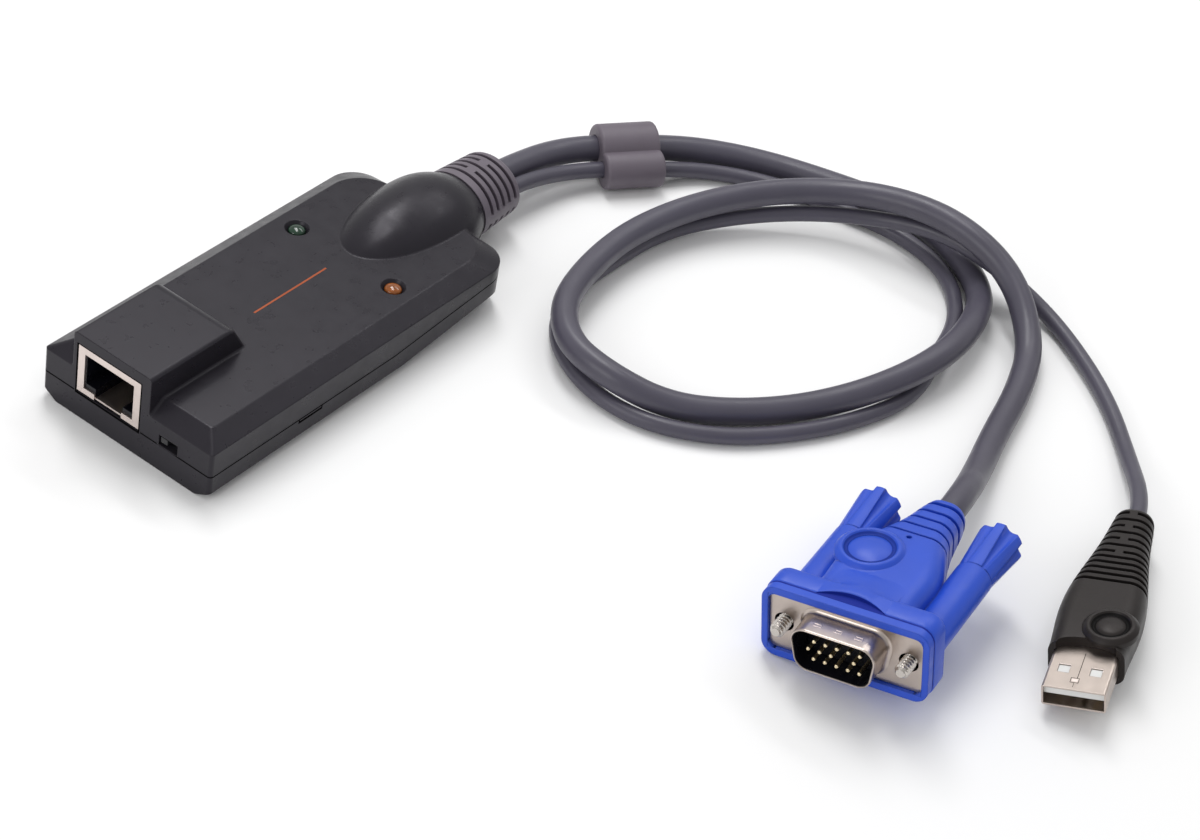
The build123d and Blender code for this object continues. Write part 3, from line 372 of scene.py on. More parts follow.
def moulded(name, color, roughness, grain=0.35, grain_height=0.02, edge=0.25, variation=0.08):
    """Moulded plastic: fine spark-eroded grain, faint tone and gloss changes, soft edges."""
    tone_size, gloss_size = 9.0, 2.5
    surface = Surface(name, color, roughness)
    surface.soften_edges(edge)
    surface.vary_color(tone_size, variation)
    surface.vary_gloss(gloss_size, roughness - 0.05, roughness + 0.06)
    surface.bump(surface.noise(grain, detail=3.0), grain_height)
    return surface


def metal(name, color, roughness, edge=0.1):
    """Plated sheet metal: faint handling marks."""
    tone_size, tone_change = 3.0, 0.04
    gloss_size = 2.0
    mark_size, mark_height = 1.2, 0.002
    surface = Surface(name, color, roughness, metallic=1.0)
    surface.soften_edges(edge)
    surface.vary_color(tone_size, tone_change)
    surface.vary_gloss(gloss_size, roughness - 0.02, roughness + 0.04)
    surface.bump(surface.noise(mark_size), mark_height)
    return surface


housing_plastic = moulded(
    "housing_plastic", (0.018, 0.0163, 0.021), 0.31, grain=0.3, grain_height=0.003, edge=0.35
)
housing_plastic.shine(0.24, tint=(0.96, 0.93, 1.0))
knob_black = moulded("knob_black", (0.014, 0.014, 0.016), 0.4)
boot_plastic = moulded("boot_plastic", (0.125, 0.105, 0.13), 0.5, grain=0.5, grain_height=0.012)
board_green = moulded("board_green", (0.02, 0.16, 0.06), 0.4)
video_blue = moulded(
    "video_plug_blue", (0.016, 0.072, 0.54), 0.38,
    grain=0.8, grain_height=0.008, edge=0.45, variation=0.05,
)
video_blue.shine(0.4)
data_black = moulded(
    "data_plug_black", (0.0155, 0.0128, 0.0122), 0.42, grain=0.4, grain_height=0.012, edge=0.3
)
data_black.shine(0.27, tint=(1.0, 0.94, 0.92))
insulator_black = moulded(
    "insulator_black", (0.004, 0.004, 0.007), 0.3, grain=0.6, grain_height=0.004, edge=0.1
)
insulator_black.shine(0.3)
insulator_white = moulded(
    "insulator_white", (0.72, 0.72, 0.7), 0.4,
    grain=0.6, grain_height=0.004, edge=0.1, variation=0.03,
)
rule_ink = moulded(
    "rule_ink", (0.38, 0.085, 0.03), 0.6,
    grain=0.2, grain_height=0.002, edge=0.02, variation=0.1,
)
rule_ink.shine(0.2)

# Darker tones for what lies deep in a groove, a dish or a gap: painted shade, and the dark lines of
# joints and seams
slot_shadow = moulded(
    "slot_shadow", (0.009, 0.0075, 0.009), 0.6, grain=0.5, grain_height=0.012, edge=0.1
)
slot_shadow.shine(0.15)
# Painted shade in the groove and the crescent cut of the blue hood
crevice_shade_blue = moulded(
    "crevice_shade_blue", (0.006, 0.02, 0.26), 0.6,
    grain=0.8, grain_height=0.008, edge=0.1, variation=0.05,
)
crevice_shade_blue.shine(0.15)
# Painted shade in the dishes of the two badges, in blue and in black
badge_dish_shade_blue = moulded(
    "badge_dish_shade_blue", (0.009, 0.036, 0.31), 0.5,
    grain=0.8, grain_height=0.008, edge=0.1, variation=0.05,
)
badge_dish_shade_blue.shine(0.2)
badge_dish_shade_black = moulded(
    "badge_dish_shade_black", (0.004, 0.0035, 0.0035), 0.5, grain=0.4, grain_height=0.012, edge=0.1
)
badge_dish_shade_black.shine(0.12)
shadow_black = Surface("shadow_black", (0.002, 0.002, 0.002), 0.9)
shadow_black.vary_color(1.0, 0.2)
shadow_black.shine(0.0)

nickel = metal("nickel", (0.52, 0.45, 0.405), 0.3)
# Lighter nickel: the socket shield's own colour, and a painted highlight on the raised edges round
# the sleeve's dimples and the latch holes
jack_nickel_and_highlight = metal("jack_nickel_and_highlight", (0.72, 0.63, 0.59), 0.36)
steel = metal("steel_screw", (0.58, 0.54, 0.5), 0.24, edge=0.01)
gold = metal("contact_gold", (0.82, 0.69, 0.46), 0.28)
switch_metal = metal("switch_metal", (0.5, 0.5, 0.5), 0.35)


def lens(name, color):
    """Tinted light cover: partly clear plastic under a thin gloss."""
    roughness = 0.12
    surface = Surface(name, color, roughness)
    surface.vary_color(0.8, 0.25)
    inputs = surface.shader.inputs
    inputs["Transmission Weight"].default_value = 0.2
    inputs["IOR"].default_value = 1.5
    inputs["Coat Weight"].default_value = 0.25
    inputs["Coat Roughness"].default_value = 0.05
    return surface


lens_green = lens("lens_green", (0.004, 0.036, 0.015))
lens_amber = lens("lens_amber", (0.3, 0.078, 0.003))


def jacket(name, color, roughness):
    """Soft extruded cable jacket: slow changes of tone and gloss, faint waves and fine grain."""
    wave_size, wave_height = 6.0, 0.05
    grain_size, grain_height = 0.5, 0.008
    surface = Surface(name, color, roughness)
    surface.vary_color(14.0, 0.07)
    surface.vary_gloss(5.0, roughness - 0.05, roughness + 0.07)
    surface.bump(surface.noise(wave_size), wave_height)
    surface.bump(surface.noise(grain_size), grain_height)
    return surface


cord_jacket = jacket("cord_jacket", (0.068, 0.063, 0.088), 0.38)

NODE_SURFACES = {
    "top_housing": housing_plastic,
    "bottom_housing": housing_plastic,
    "main_board": board_green,
    "rj45_shield": jack_nickel_and_highlight,
    "rj45_insulator": insulator_black,
    "rj45_contacts": gold,
    "led_online": lens_green,
    "led_power": lens_amber,
    "switch_body": switch_metal,
    "switch_slider": knob_black,
    "cable_boot": boot_plastic,
    "cable_collar": boot_plastic,
    "vga_hood": video_blue,
    "vga_shell": nickel,
    "vga_insulator": insulator_black,
    "vga_pins": gold,
    "vga_screw_left": steel,
    "vga_screw_right": steel,
    "vga_grip_left": video_blue,
    "vga_grip_right": video_blue,
    "usb_hood": data_black,
    "usb_shell": nickel,
    "usb_insulator": insulator_white,
    "usb_contacts": gold,
}
for node_name, surface in NODE_SURFACES.items():
    nodes[node_name].data.materials.clear()
    nodes[node_name].data.materials.append(surface.material)


# Cables

def cable(name, node, route, diameter):
    """Round cable along the smooth curve of its route, standing for its solid."""
    curve = bpy.data.curves.new(name, "CURVE")
    curve.dimensions = "3D"
    spline = curve.splines.new("NURBS")
    spline.points.add(len(route) - 1)
    for control, place in zip(spline.points, route):
        control.co = (place[0] * MM, place[1] * MM, place[2] * MM, 1)
    spline.order_u = 3
    spline.use_endpoint_u = True
    spline.resolution_u = 16
    curve.bevel_depth = diameter / 2 * MM
    curve.bevel_resolution = 8
    curve.use_fill_caps = True
    curve.materials.append(cord_jacket.material)
    piece = bpy.data.objects.new(name, curve)
    bpy.context.scene.collection.objects.link(piece)
    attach(piece, BODY)
    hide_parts(node)


cable(
    "video_cable",
    "vga_cord",
    VIDEO_ROUTE,
    VIDEO_CORD_DIAMETER,
)
cable(
    "data_cable",
    "usb_cord",
    DATA_ROUTE,
    DATA_CORD_DIAMETER,
)


# Camera, floor and light

def set_camera():
    """Camera at the photograph's place, with its roll."""
    azimuth, elevation, roll = (
        radians(CAMERA_AZIMUTH), radians(CAMERA_ELEVATION), radians(CAMERA_ROLL)
    )
    back = Vector((
        sin(azimuth) * cos(elevation), -cos(azimuth) * cos(elevation), sin(elevation)
    ))
    level_right = Vector((cos(azimuth), sin(azimuth), 0))
    level_up = back.cross(level_right)
    right = cos(roll) * level_right + sin(roll) * level_up
    up = cos(roll) * level_up - sin(roll) * level_right
    matrix = Matrix((right, up, back)).transposed().to_4x4()
    matrix.translation = (Vector(CAMERA_TARGET) + CAMERA_DISTANCE * back) * MM
    data = bpy.data.cameras.new("camera")
    data.lens = CAMERA_LENS
    data.sensor_width = CAMERA_SENSOR
    data.clip_start, data.clip_end = 0.01, 20.0
    camera = bpy.data.objects.new("camera", data)
    camera.matrix_world = matrix
    bpy.context.scene.collection.objects.link(camera)
    bpy.context.scene.camera = camera


def set_floor():
    """Plain pale floor."""
    pale = 0.93
    surface = Surface("floor_paper", (pale, pale, pale), 0.9)
    mesh = bpy.data.meshes.new("floor")
    half = FLOOR_HALF_SIZE
    corners = [(-half, -half, 0), (half, -half, 0), (half, half, 0), (-half, half, 0)]
    mesh.from_pydata(corners, [], [(0, 1, 2, 3)])
    mesh.materials.append(surface.material)
    floor = bpy.data.objects.new("floor", mesh)
    bpy.context.scene.collection.objects.link(floor)
    floor.location.z = -FLOOR_DROP


def add_light(name, place, target, size, power):
    """Soft rectangular light that looks at a target."""
    data = bpy.data.lights.new(name, "AREA")
    data.shape = "RECTANGLE"
    data.size, data.size_y = size
    data.energy = power
    light = bpy.data.objects.new(name, data)
    bpy.context.scene.collection.objects.link(light)
    light.location = place
    direction = Vector(target) - Vector(place)
    light.rotation_euler = direction.to_track_quat("-Z", "Y").to_euler()


def set_light():
    """White surroundings, dimmer on the near side, with soft lights for the shape."""
    world = bpy.data.worlds.new("studio")
    world.use_nodes = True
    tree = world.node_tree
    background = tree.nodes["Background"]
    background.inputs["Color"].default_value = (1, 1, 1, 1)
    direction = tree.nodes.new("ShaderNodeTexCoord")
    toward_back = tree.nodes.new("ShaderNodeVectorMath")
    toward_back.operation = "DOT_PRODUCT"
    toward_back.inputs[1].default_value = BRIGHT_SIDE
    strength = tree.nodes.new("ShaderNodeMapRange")
    strength.inputs["From Min"].default_value = -SIDE_REACH
    strength.inputs["From Max"].default_value = SIDE_REACH
    strength.inputs["To Min"].default_value = DIM_STRENGTH
    strength.inputs["To Max"].default_value = BRIGHT_STRENGTH
    tree.links.new(direction.outputs["Generated"], toward_back.inputs[0])
    tree.links.new(toward_back.outputs["Value"], strength.inputs["Value"])
    tree.links.new(strength.outputs["Result"], background.inputs["Strength"])
    bpy.context.scene.world = world
    for name, place, size, power in LIGHTS:
        add_light(name, place, LIGHT_TARGET, size, power)


set_camera()
set_floor()
set_light()
bpy.context.scene.view_settings.view_transform = "Standard"


# Helpers for pieces made here

def mesh_piece(name, build, surface, body=BODY, replaced=None):
    """New mesh object made by a bmesh builder in millimetres, riding on a body."""
    shape = bmesh.new()
    build(shape)
    bmesh.ops.scale(shape, vec=(MM, MM, MM), verts=shape.verts)
    bmesh.ops.recalc_face_normals(shape, faces=shape.faces)
    mesh = bpy.data.meshes.new(name)
    shape.to_mesh(mesh)
    shape.free()
    mesh.shade_smooth()
    mesh.set_sharp_from_angle(angle=radians(SHARP_ANGLE))
    mesh.materials.append(surface.material)
    piece = bpy.data.objects.new(name, mesh)
    bpy.context.scene.collection.objects.link(piece)
    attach(piece, body)
    if replaced:
        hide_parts(replaced)


def between(start, end, steps, first=0):
    """Values from start to end in even steps."""
    return [start + (end - start) * step / steps for step in range(first, steps + 1)]


def skin(shape, rings, cap_start=False, cap_end=False):
    """Faces between closed rings of points, with flat ends if asked."""
    loops = [[shape.verts.new(point) for point in ring] for ring in rings]
    for near, far in zip(loops, loops[1:]):
        for index, start in enumerate(near):
            following = (index + 1) % len(near)
            shape.faces.new((start, near[following], far[following], far[index]))
    if cap_start:
        shape.faces.new(loops[0])
    if cap_end:
        shape.faces.new(loops[-1])


def circle_points(centre, radius, count=48):
    """Points round a circle."""
    turns = [2 * pi * number / count for number in range(count)]
    return [(centre[0] + radius * cos(turn), centre[1] + radius * sin(turn)) for turn in turns]


def box_form(shape, low, high):
    """Axis-aligned block between two corners."""
    matrix = Matrix.Translation([(a + b) / 2 for a, b in zip(low, high)])
    size = Matrix.Diagonal([b - a for a, b in zip(low, high)] + [1])
    bmesh.ops.create_cube(shape, size=1, matrix=matrix @ size)


def placed_box(shape, plug, low, high):
    """Block between two corners in a plug's own directions."""
    start = len(shape.verts)
    box_form(shape, low, high)
    shape.verts.ensure_lookup_table()
    for vertex in shape.verts[start:]:
        vertex.co = plug @ vertex.co


def ring_across(plug, distance, points):
    """Ring of points across a plug's axis, at a distance behind its face."""
    return [plug @ Vector((distance, *point)) for point in points]


def grown(outline, offset):
    """Points of an outline, moved out along their normals."""
    return [point + normal * offset for point, normal in outline]


# Fine details on the housing

def deck_rule(shape):
    """Thin printed line across the deck."""
    box_form(
        shape,
        (RULE_START, RULE_Y - RULE_WIDTH / 2, DECK_HEIGHT - RULE_SINK),
        (RULE_END, RULE_Y + RULE_WIDTH / 2, DECK_HEIGHT + RULE_RISE),
    )


mesh_piece("deck_rule", deck_rule, rule_ink)


def boot_slot_shade(shape):
    """Painted shade on the floor of the boot's slots, between two sections of it."""
    near = (1.2, 7.3, 6.2)
    far = (11.6, 6.7, 5.6)
    rings = []
    for distance, half_width, half_height in (near, far):
        rings.append([
            Vector((BOOT_START + distance, half_width * y, CABLE_AXIS_HEIGHT + half_height * z))
            for y, z in circle_points((0, 0), 1.0)
        ])
    skin(shape, rings, cap_start=True, cap_end=True)


mesh_piece("boot_slot_shade", boot_slot_shade, slot_shadow)


def light_dome(side):
    """Builder of a status light's domed cover."""

    def build(shape):
        rings = []
        for angle in between(0, 90, 9):
            turn = radians(angle)
            radius = max(LIGHT_RADIUS * cos(turn), TIP_RADIUS)
            height = LIGHT_FOOT + LIGHT_DOME_RISE * sin(turn)
            circle = circle_points((LIGHT_X, side * LIGHT_Y), radius)
            rings.append([Vector((x, y, height)) for x, y in circle])
        skin(shape, rings, cap_end=True)

    return build


mesh_piece("online_dome", light_dome(1), lens_green)
mesh_piece("power_dome", light_dome(-1), lens_amber)


def joint_height(x):
    """Height of the line where the two halves of the housing meet."""
    share = min(max((x - JOINT_RISE_START) / (HALF_LENGTH - JOINT_RISE_START), 0), 1)
    return JOINT_HEIGHT + (JOINT_REAR_HEIGHT - JOINT_HEIGHT) * share


def housing_tree():
    """Search tree over the surface of both halves of the housing, in millimetres."""
    points, faces = [], []
    for name in ("top_housing", "bottom_housing"):
        mesh = nodes[name].data
        first = len(points)
        points += [vertex.co / MM for vertex in mesh.vertices]
        faces += [[first + index for index in face.vertices] for face in mesh.polygons]
    return BVHTree.FromPolygons(points, faces)


def joint_rays(side):
    """Sight lines towards the joint on one side, from the socket round to the end of the boss.

    Each is a place outside the housing, a direction and the height of the joint there.
    """
    rays = []
    jack_edge = JACK_FAR + JACK_MARGIN if side > 0 else JACK_NEAR - JACK_MARGIN
    for y in between(jack_edge, side * (HALF_WIDTH - FRONT_CORNER_RADIUS), 12):
        rays.append(((-HALF_LENGTH - SIGHT, y), (1, 0), JOINT_HEIGHT))

    reach = FRONT_CORNER_RADIUS + SIGHT
    for angle in between(0, 90, 6):
        turn = radians(angle)
        place = (
            -HALF_LENGTH + FRONT_CORNER_RADIUS - reach * cos(turn),
            side * (HALF_WIDTH - FRONT_CORNER_RADIUS + reach * sin(turn)),
        )
        rays.append((place, (cos(turn), -side * sin(turn)), JOINT_HEIGHT))

    outside = side * (HALF_WIDTH + SIGHT)
    corner_x = HALF_LENGTH - REAR_CORNER_RADIUS
    for x in between(-HALF_LENGTH + FRONT_CORNER_RADIUS, corner_x, 60, first=1):
        rays.append(((x, outside), (0, -side), joint_height(x)))

    reach = REAR_CORNER_RADIUS + SIGHT
    wall_end = HALF_WIDTH - REAR_CORNER_RADIUS
    for angle in between(0, 90, 12, first=1):
        turn = radians(angle)
        place = (corner_x + reach * sin(turn), side * (wall_end + reach * cos(turn)))
        height = joint_height(corner_x + REAR_CORNER_RADIUS * sin(turn))
        rays.append((place, (-sin(turn), -side * cos(turn)), height))

    overlap = 0.1
    boss_half_width = BOSS_HALF_WIDTH * sqrt(1 - ((HALF_LENGTH - BOSS_PEAK) / BOSS_REACH) ** 2)
    for y in between(wall_end, boss_half_width + overlap, 6, first=1):
        rays.append(((HALF_LENGTH + SIGHT, side * y), (-1, 0), JOINT_REAR_HEIGHT))
    for x in between(HALF_LENGTH + overlap, BOSS_END, 12, first=1):
        rays.append(((x, outside), (0, -side), JOINT_REAR_HEIGHT))
    return rays


def joint_line(shape):
    """Dark line in the joint of the two halves, laid on their surface."""
    tree = housing_tree()
    half = JOINT_LINE_WIDTH / 2
    for side in (-1, 1):
        before = None
        for place, direction, height in joint_rays(side):
            sight = Vector((*direction, 0))
            pair = []
            for level in (height - half, height + half):
                found = tree.ray_cast(Vector((*place, level)), sight)[0]
                if found is not None:
                    pair.append(shape.verts.new(found - sight * LINE_RISE))
            if len(pair) == 2 and before:
                shape.faces.new((before[0], pair[0], pair[1], before[1]))
            before = pair if len(pair) == 2 else None


def joint_tab(shape):
    """Step of the joint line round the small tab on the near side: its foot and two sides."""
    half = JOINT_LINE_WIDTH / 2
    foot_low, foot_high = JOINT_TAB_FOOT - 2 * half, JOINT_TAB_FOOT + 1.6 * half
    for low_x, high_x, low_z, high_z in (
        (JOINT_TAB_START - half, JOINT_TAB_END + half, foot_low, foot_high),
        (JOINT_TAB_START - half, JOINT_TAB_START + half, JOINT_TAB_FOOT, JOINT_HEIGHT),
        (JOINT_TAB_END - half, JOINT_TAB_END + half, JOINT_TAB_FOOT, JOINT_HEIGHT),
    ):
        low = (low_x, -HALF_WIDTH - LINE_RISE, low_z)
        box_form(shape, low, (high_x, -HALF_WIDTH + LINE_SINK, high_z))


def jack_gap_shade(shape):
    """Painted shade in the gap between the socket's shield and the housing: two sides, top and
    foot.
    """
    clear = 0.02
    low_z, high_z = JACK_FOOT - GAP_FOOT, JACK_TOP + GAP_TOP
    for near_y, far_y, foot, top in (
        (JACK_FAR + clear, JACK_FAR + GAP_FAR, low_z, high_z),
        (JACK_NEAR - GAP_NEAR, JACK_NEAR - clear, low_z, high_z),
        (JACK_NEAR, JACK_FAR, JACK_TOP + clear, high_z),
        (JACK_NEAR, JACK_FAR, low_z, JACK_FOOT - clear),
    ):
        low = (-HALF_LENGTH - LINE_RISE, near_y, foot)
        box_form(shape, low, (-HALF_LENGTH + LINE_SINK, far_y, top))


mesh_piece("joint_line", joint_line, shadow_black)
mesh_piece("joint_tab", joint_tab, shadow_black)
mesh_piece("jack_gap_shade", jack_gap_shade, shadow_black)


# Fine details on the video plug

def rounded_outline(corners, radius, spacing):
    """Closed outline round the corners of a convex shape, turning left: points with normals."""
    count = len(corners)
    normals = []
    for index, corner in enumerate(corners):
        run = Vector(corners[(index + 1) % count]) - Vector(corner)
        normals.append(Vector((run.y, -run.x)).normalized())
    centres = []
    for index, corner in enumerate(corners):
        before, after = normals[index - 1], normals[index]
        centres.append(Vector(corner) - (before + after) * radius / (1 + before.dot(after)))
    outline = []
    for index in range(count):
        before, after = normals[index - 1], normals[index]
        turn = before.angle(after)
        steps = max(4, round(turn * radius / spacing))
        for step in range(steps + 1):
            normal = Matrix.Rotation(turn * step / steps, 2) @ before
            outline.append((centres[index] + normal * radius, normal))
        start = centres[index] + after * radius
        end = centres[(index + 1) % count] + after * radius
        steps = max(2, round((end - start).length / spacing))
        for step in range(1, steps):
            outline.append((start.lerp(end, step / steps), after))
    return outline


def rectangle(half_width, half_height):
    """Corners of a rectangle round the axis, turning left."""
    return [
        (-half_width, -half_height),
        (half_width, -half_height),
        (half_width, half_height),
        (-half_width, half_height),
    ]


def d_outline(width, height, corner):
    """D outline of the video plug's sleeve, the wide side up."""
    lean = height * tan(radians(SLEEVE_SLANT))
    return rounded_outline(
        [
            (-width / 2 + lean, -height / 2),
            (width / 2 - lean, -height / 2),
            (width / 2, height / 2),
            (-width / 2, height / 2),
        ],
        corner,
        SLEEVE_SPACING,
    )


sleeve_outline = d_outline(SLEEVE_INSIDE_WIDTH, SLEEVE_INSIDE_HEIGHT, SLEEVE_CORNER)
rim_outline = rounded_outline(rectangle(RIM_HALF_WIDTH, RIM_HALF_HEIGHT), RIM_CORNER, RIM_SPACING)


def dimple(distance, lateral):
    """Depth of the three shallow dimples pressed in the top of the sleeve."""
    depth = 0.0
    for number in (-1, 0, 1):
        along = abs(distance - DIMPLE_AT) / DIMPLE_HALF_LENGTH
        aside = abs(lateral - number * DIMPLE_SPACING) / DIMPLE_HALF_WIDTH
        reach = max(along, aside)
        depth += DIMPLE_DEPTH * min(max((DIMPLE_OUTSIDE - reach) / DIMPLE_SLOPE, 0), 1)
    return depth


def sleeve_profile():
    """Section of the sleeve as (offset from the inside, distance): flare, wall, lip, inside."""
    profile = []
    for angle in between(0, 90, 6):
        turn = radians(angle)
        offset = SLEEVE_SHEET + SLEEVE_FLARE * (1 - sin(turn))
        profile.append((offset, -SLEEVE_FLARE * (1 - cos(turn))))
    for distance in between(-SLEEVE_FLARE, -SLEEVE_REACH + SLEEVE_LIP, 24, first=1):
        profile.append((SLEEVE_SHEET, distance))
    profile += [
        (SLEEVE_SHEET - 0.04, -SLEEVE_REACH + 0.14),
        (SLEEVE_SHEET - 0.13, -SLEEVE_REACH + 0.04),
        (SLEEVE_SHEET - 0.25, -SLEEVE_REACH),
        (0.08, -SLEEVE_REACH + 0.03),
        (0.0, -SLEEVE_REACH + 0.14),
        (0.0, INSULATOR_FACE + 0.4),
    ]
    return profile


def face_plate(shape):
    """Plate round the sleeve: both faces filled round the holes, then all their walls."""
    loops = [
        rectangle(PLATE_WIDTH / 2, PLATE_HEIGHT / 2),
        grown(sleeve_outline, SLEEVE_SHEET + SLEEVE_FLARE),
    ]
    loops += [circle_points((side * SCREW_OFFSET, 0), PLATE_HOLE_RADIUS) for side in (-1, 1)]
    sides = []
    for distance in (0.0, PLATE_THICKNESS):
        edges = []
        rings = []
        for loop in loops:
            ring = [shape.verts.new(place) for place in ring_across(video_frame, distance, loop)]
            edges += [shape.edges.new(pair) for pair in zip(ring[-1:] + ring[:-1], ring)]
            rings.append(ring)
        bmesh.ops.triangle_fill(shape, use_beauty=True, edges=edges)
        sides.append(rings)
    for near, far in zip(*sides):
        for index in range(len(near)):
            shape.faces.new((near[index - 1], near[index], far[index], far[index - 1]))


def d_sleeve(shape):
    """Flared D-shaped sleeve with dimples and a rounded lip, and the plate that carries it."""
    outer_side = 0.4
    rings = []
    for offset, distance in sleeve_profile():
        points = []
        for point, normal in sleeve_outline:
            pressed = normal.y > FACING_UP and offset > outer_side
            sunk = dimple(distance, point.x) if pressed else 0.0
            points.append(point + normal * (offset - sunk))
        rings.append(ring_across(video_frame, distance, points))
    skin(shape, rings)
    face_plate(shape)


def dimple_frame_highlights(shape):
    """Raised edges round the three dimples on the sleeve, in a lighter nickel as a painted
    highlight.
    """
    top = SLEEVE_INSIDE_HEIGHT / 2 + SLEEVE_SHEET
    start, end = DIMPLE_EDGE_START, DIMPLE_EDGE_END
    side, side_start, side_end = 0.68, 0.66, DIMPLE_HALF_WIDTH
    for number in (-1, 0, 1):
        lateral = number * DIMPLE_SPACING
        for low_x, high_x, low_y, high_y in (
            (-end, -start, -side, side),
            (start, end, -side, side),
            (-end, end, -side_end, -side_start),
            (-end, end, side_start, side_end),
        ):
            placed_box(
                shape,
                video_frame,
                (DIMPLE_AT + low_x, lateral + low_y, top - 0.12),
                (DIMPLE_AT + high_x, lateral + high_y, top + 0.05),
            )


def plate_corners(shape):
    """Rounded inner corners of the rim, in front of the plate."""
    margin = 0.06
    front, back = -0.78, 0.01
    for side in (-1, 1):
        for level in (-1, 1):
            corner = Vector((
                side * (PLATE_WIDTH / 2 + margin), level * (PLATE_HEIGHT / 2 + margin)
            ))
            centre = corner - Vector((side, level)) * PLATE_CORNER_RADIUS
            points = [corner]
            for angle in between(0, 90, 8):
                turn = radians(angle)
                outward = Vector((side * cos(turn), level * sin(turn)))
                points.append(centre + outward * PLATE_CORNER_RADIUS)
            rings = [ring_across(video_frame, distance, points) for distance in (front, back)]
            skin(shape, rings, cap_start=True, cap_end=True)


def d_insulator(shape):
    """Block that holds the pins, filling the D-shaped sleeve, and its narrower back."""
    clear, bevel, bevel_length = 0.03, 0.25, 0.2
    rings = [
        ring_across(video_frame, distance, grown(sleeve_outline, -inset))
        for distance, inset in (
            (INSULATOR_FACE, bevel),
            (INSULATOR_FACE + bevel_length, clear),
            (PLATE_THICKNESS, clear),
        )
    ]
    skin(shape, rings, cap_start=True, cap_end=True)
    narrow = grown(d_outline(*INSULATOR_BACK_SIZE), 0.0)
    rings = [
        ring_across(video_frame, distance, narrow) for distance in (PLATE_THICKNESS, INSULATOR_BACK)
    ]
    skin(shape, rings, cap_start=True, cap_end=True)


def closed_tube(shape, outline, section):
    """Ring round the video plug's axis: a closed section of (distance, offset) pairs."""
    rings = [
        ring_across(video_frame, distance, grown(outline, offset))
        for distance, offset in (*section, section[0])
    ]
    skin(shape, rings)


def sleeve_shade_liner(shape):
    """Painted shade on the inner wall of the sleeve, from the insulator nearly to the mouth."""
    outer, inner = -0.02, -0.1
    back, mouth = INSULATOR_FACE + 0.3, -SLEEVE_REACH + 0.2
    section = ((back, outer), (mouth, outer), (mouth, inner), (back, inner))
    closed_tube(shape, sleeve_outline, section)


def crescent_share(lateral):
    """1 in the middle of the crescent, falling to 0 at its two pointed ends."""
    return max(1 - (lateral / CRESCENT_HALF_WIDTH) ** 2, 0)


def crescent_front(lateral):
    """Distance at which the flange starts, cut back in the middle of its upper edge."""
    return GROOVE_END + CRESCENT_DEPTH * crescent_share(lateral)


def rim_groove(shape):
    """Shadow in the groove between the rim and the flange."""
    low, high = -0.1, 0.02
    back = GROOVE_END + 0.1
    section = ((GROOVE_START, low), (GROOVE_START, high), (back, high), (back, low))
    closed_tube(shape, rim_outline, section)


def flange_band(shape):
    """Flange behind the groove, with the cut in the middle of its upper edge."""
    # Each ring: share of the flange's length, distance added to it, rise over the rim
    profile = (
        (0.0, 0.0, -0.3),
        (0.0, 0.0, 0.0),
        (0.0, 0.08, FLANGE_RISE - 0.05),
        (0.0, 0.22, FLANGE_RISE),
        (0.6, 0.0, FLANGE_RISE),
        (0.9, 0.0, FLANGE_RISE),
        (1.0, 0.0, FLANGE_RISE - 0.25),
        (1.0, 0.0, -1.2),
    )
    rings = []
    for share, added, rise in profile:
        ring = []
        for point, normal in rim_outline:
            start = crescent_front(point.x) if normal.y > FACING_UP else GROOVE_END
            distance = start + (FLANGE_END - start) * share + added
            ring.append(video_frame @ Vector((distance, *(point + normal * rise))))
        rings.append(ring)
    skin(shape, rings)


def crown_grid(shape, profile):
    """Sheet over the middle of the hood: rows of (distance, height) for each lateral place."""
    rows = []
    for share in between(-1, 1, 40):
        lateral = CRESCENT_HALF_WIDTH * share
        rows.append([
            shape.verts.new(video_frame @ Vector((distance, lateral, height)))
            for distance, height in profile(lateral)
        ])
    for near, far in zip(rows, rows[1:]):
        for index in range(len(near) - 1):
            shape.faces.new((near[index], near[index + 1], far[index + 1], far[index]))


def crescent_floor(lateral):
    """Shadowed floor and face of the cut at a place across the hood."""
    top = RIM_HALF_HEIGHT + FLANGE_RISE
    share = crescent_share(lateral)
    front = crescent_front(lateral)
    return (
        (GROOVE_END, RIM_HALF_HEIGHT + 0.02),
        (front - 0.02, RIM_HALF_HEIGHT + 0.03),
        (front - 0.01, top + (CROWN_RISE - 0.2) * share),
    )


def hood_crown(lateral):
    """Crowned top of the hood behind the cut, running down to its flat top in soft steps."""
    top = RIM_HALF_HEIGHT + FLANGE_RISE
    share = crescent_share(lateral)
    front = crescent_front(lateral)
    crest = top + CROWN_RISE * share
    hood = HOOD_TOP - 0.08
    return (
        (front, top - 0.1),
        (front, crest - 0.25 * share),
        (front + 0.12, crest - 0.06 * share),
        (front + 0.35, crest),
        (FLANGE_END - 0.7, top + (crest - top) * 0.8),
        (FLANGE_END + 0.05, hood + (crest - hood) * 0.82 * share),
        (8.0, hood + (crest - hood) * 0.5 * share),
        (10.3, hood + (crest - hood) * 0.2 * share),
        (CROWN_END, hood),
    )


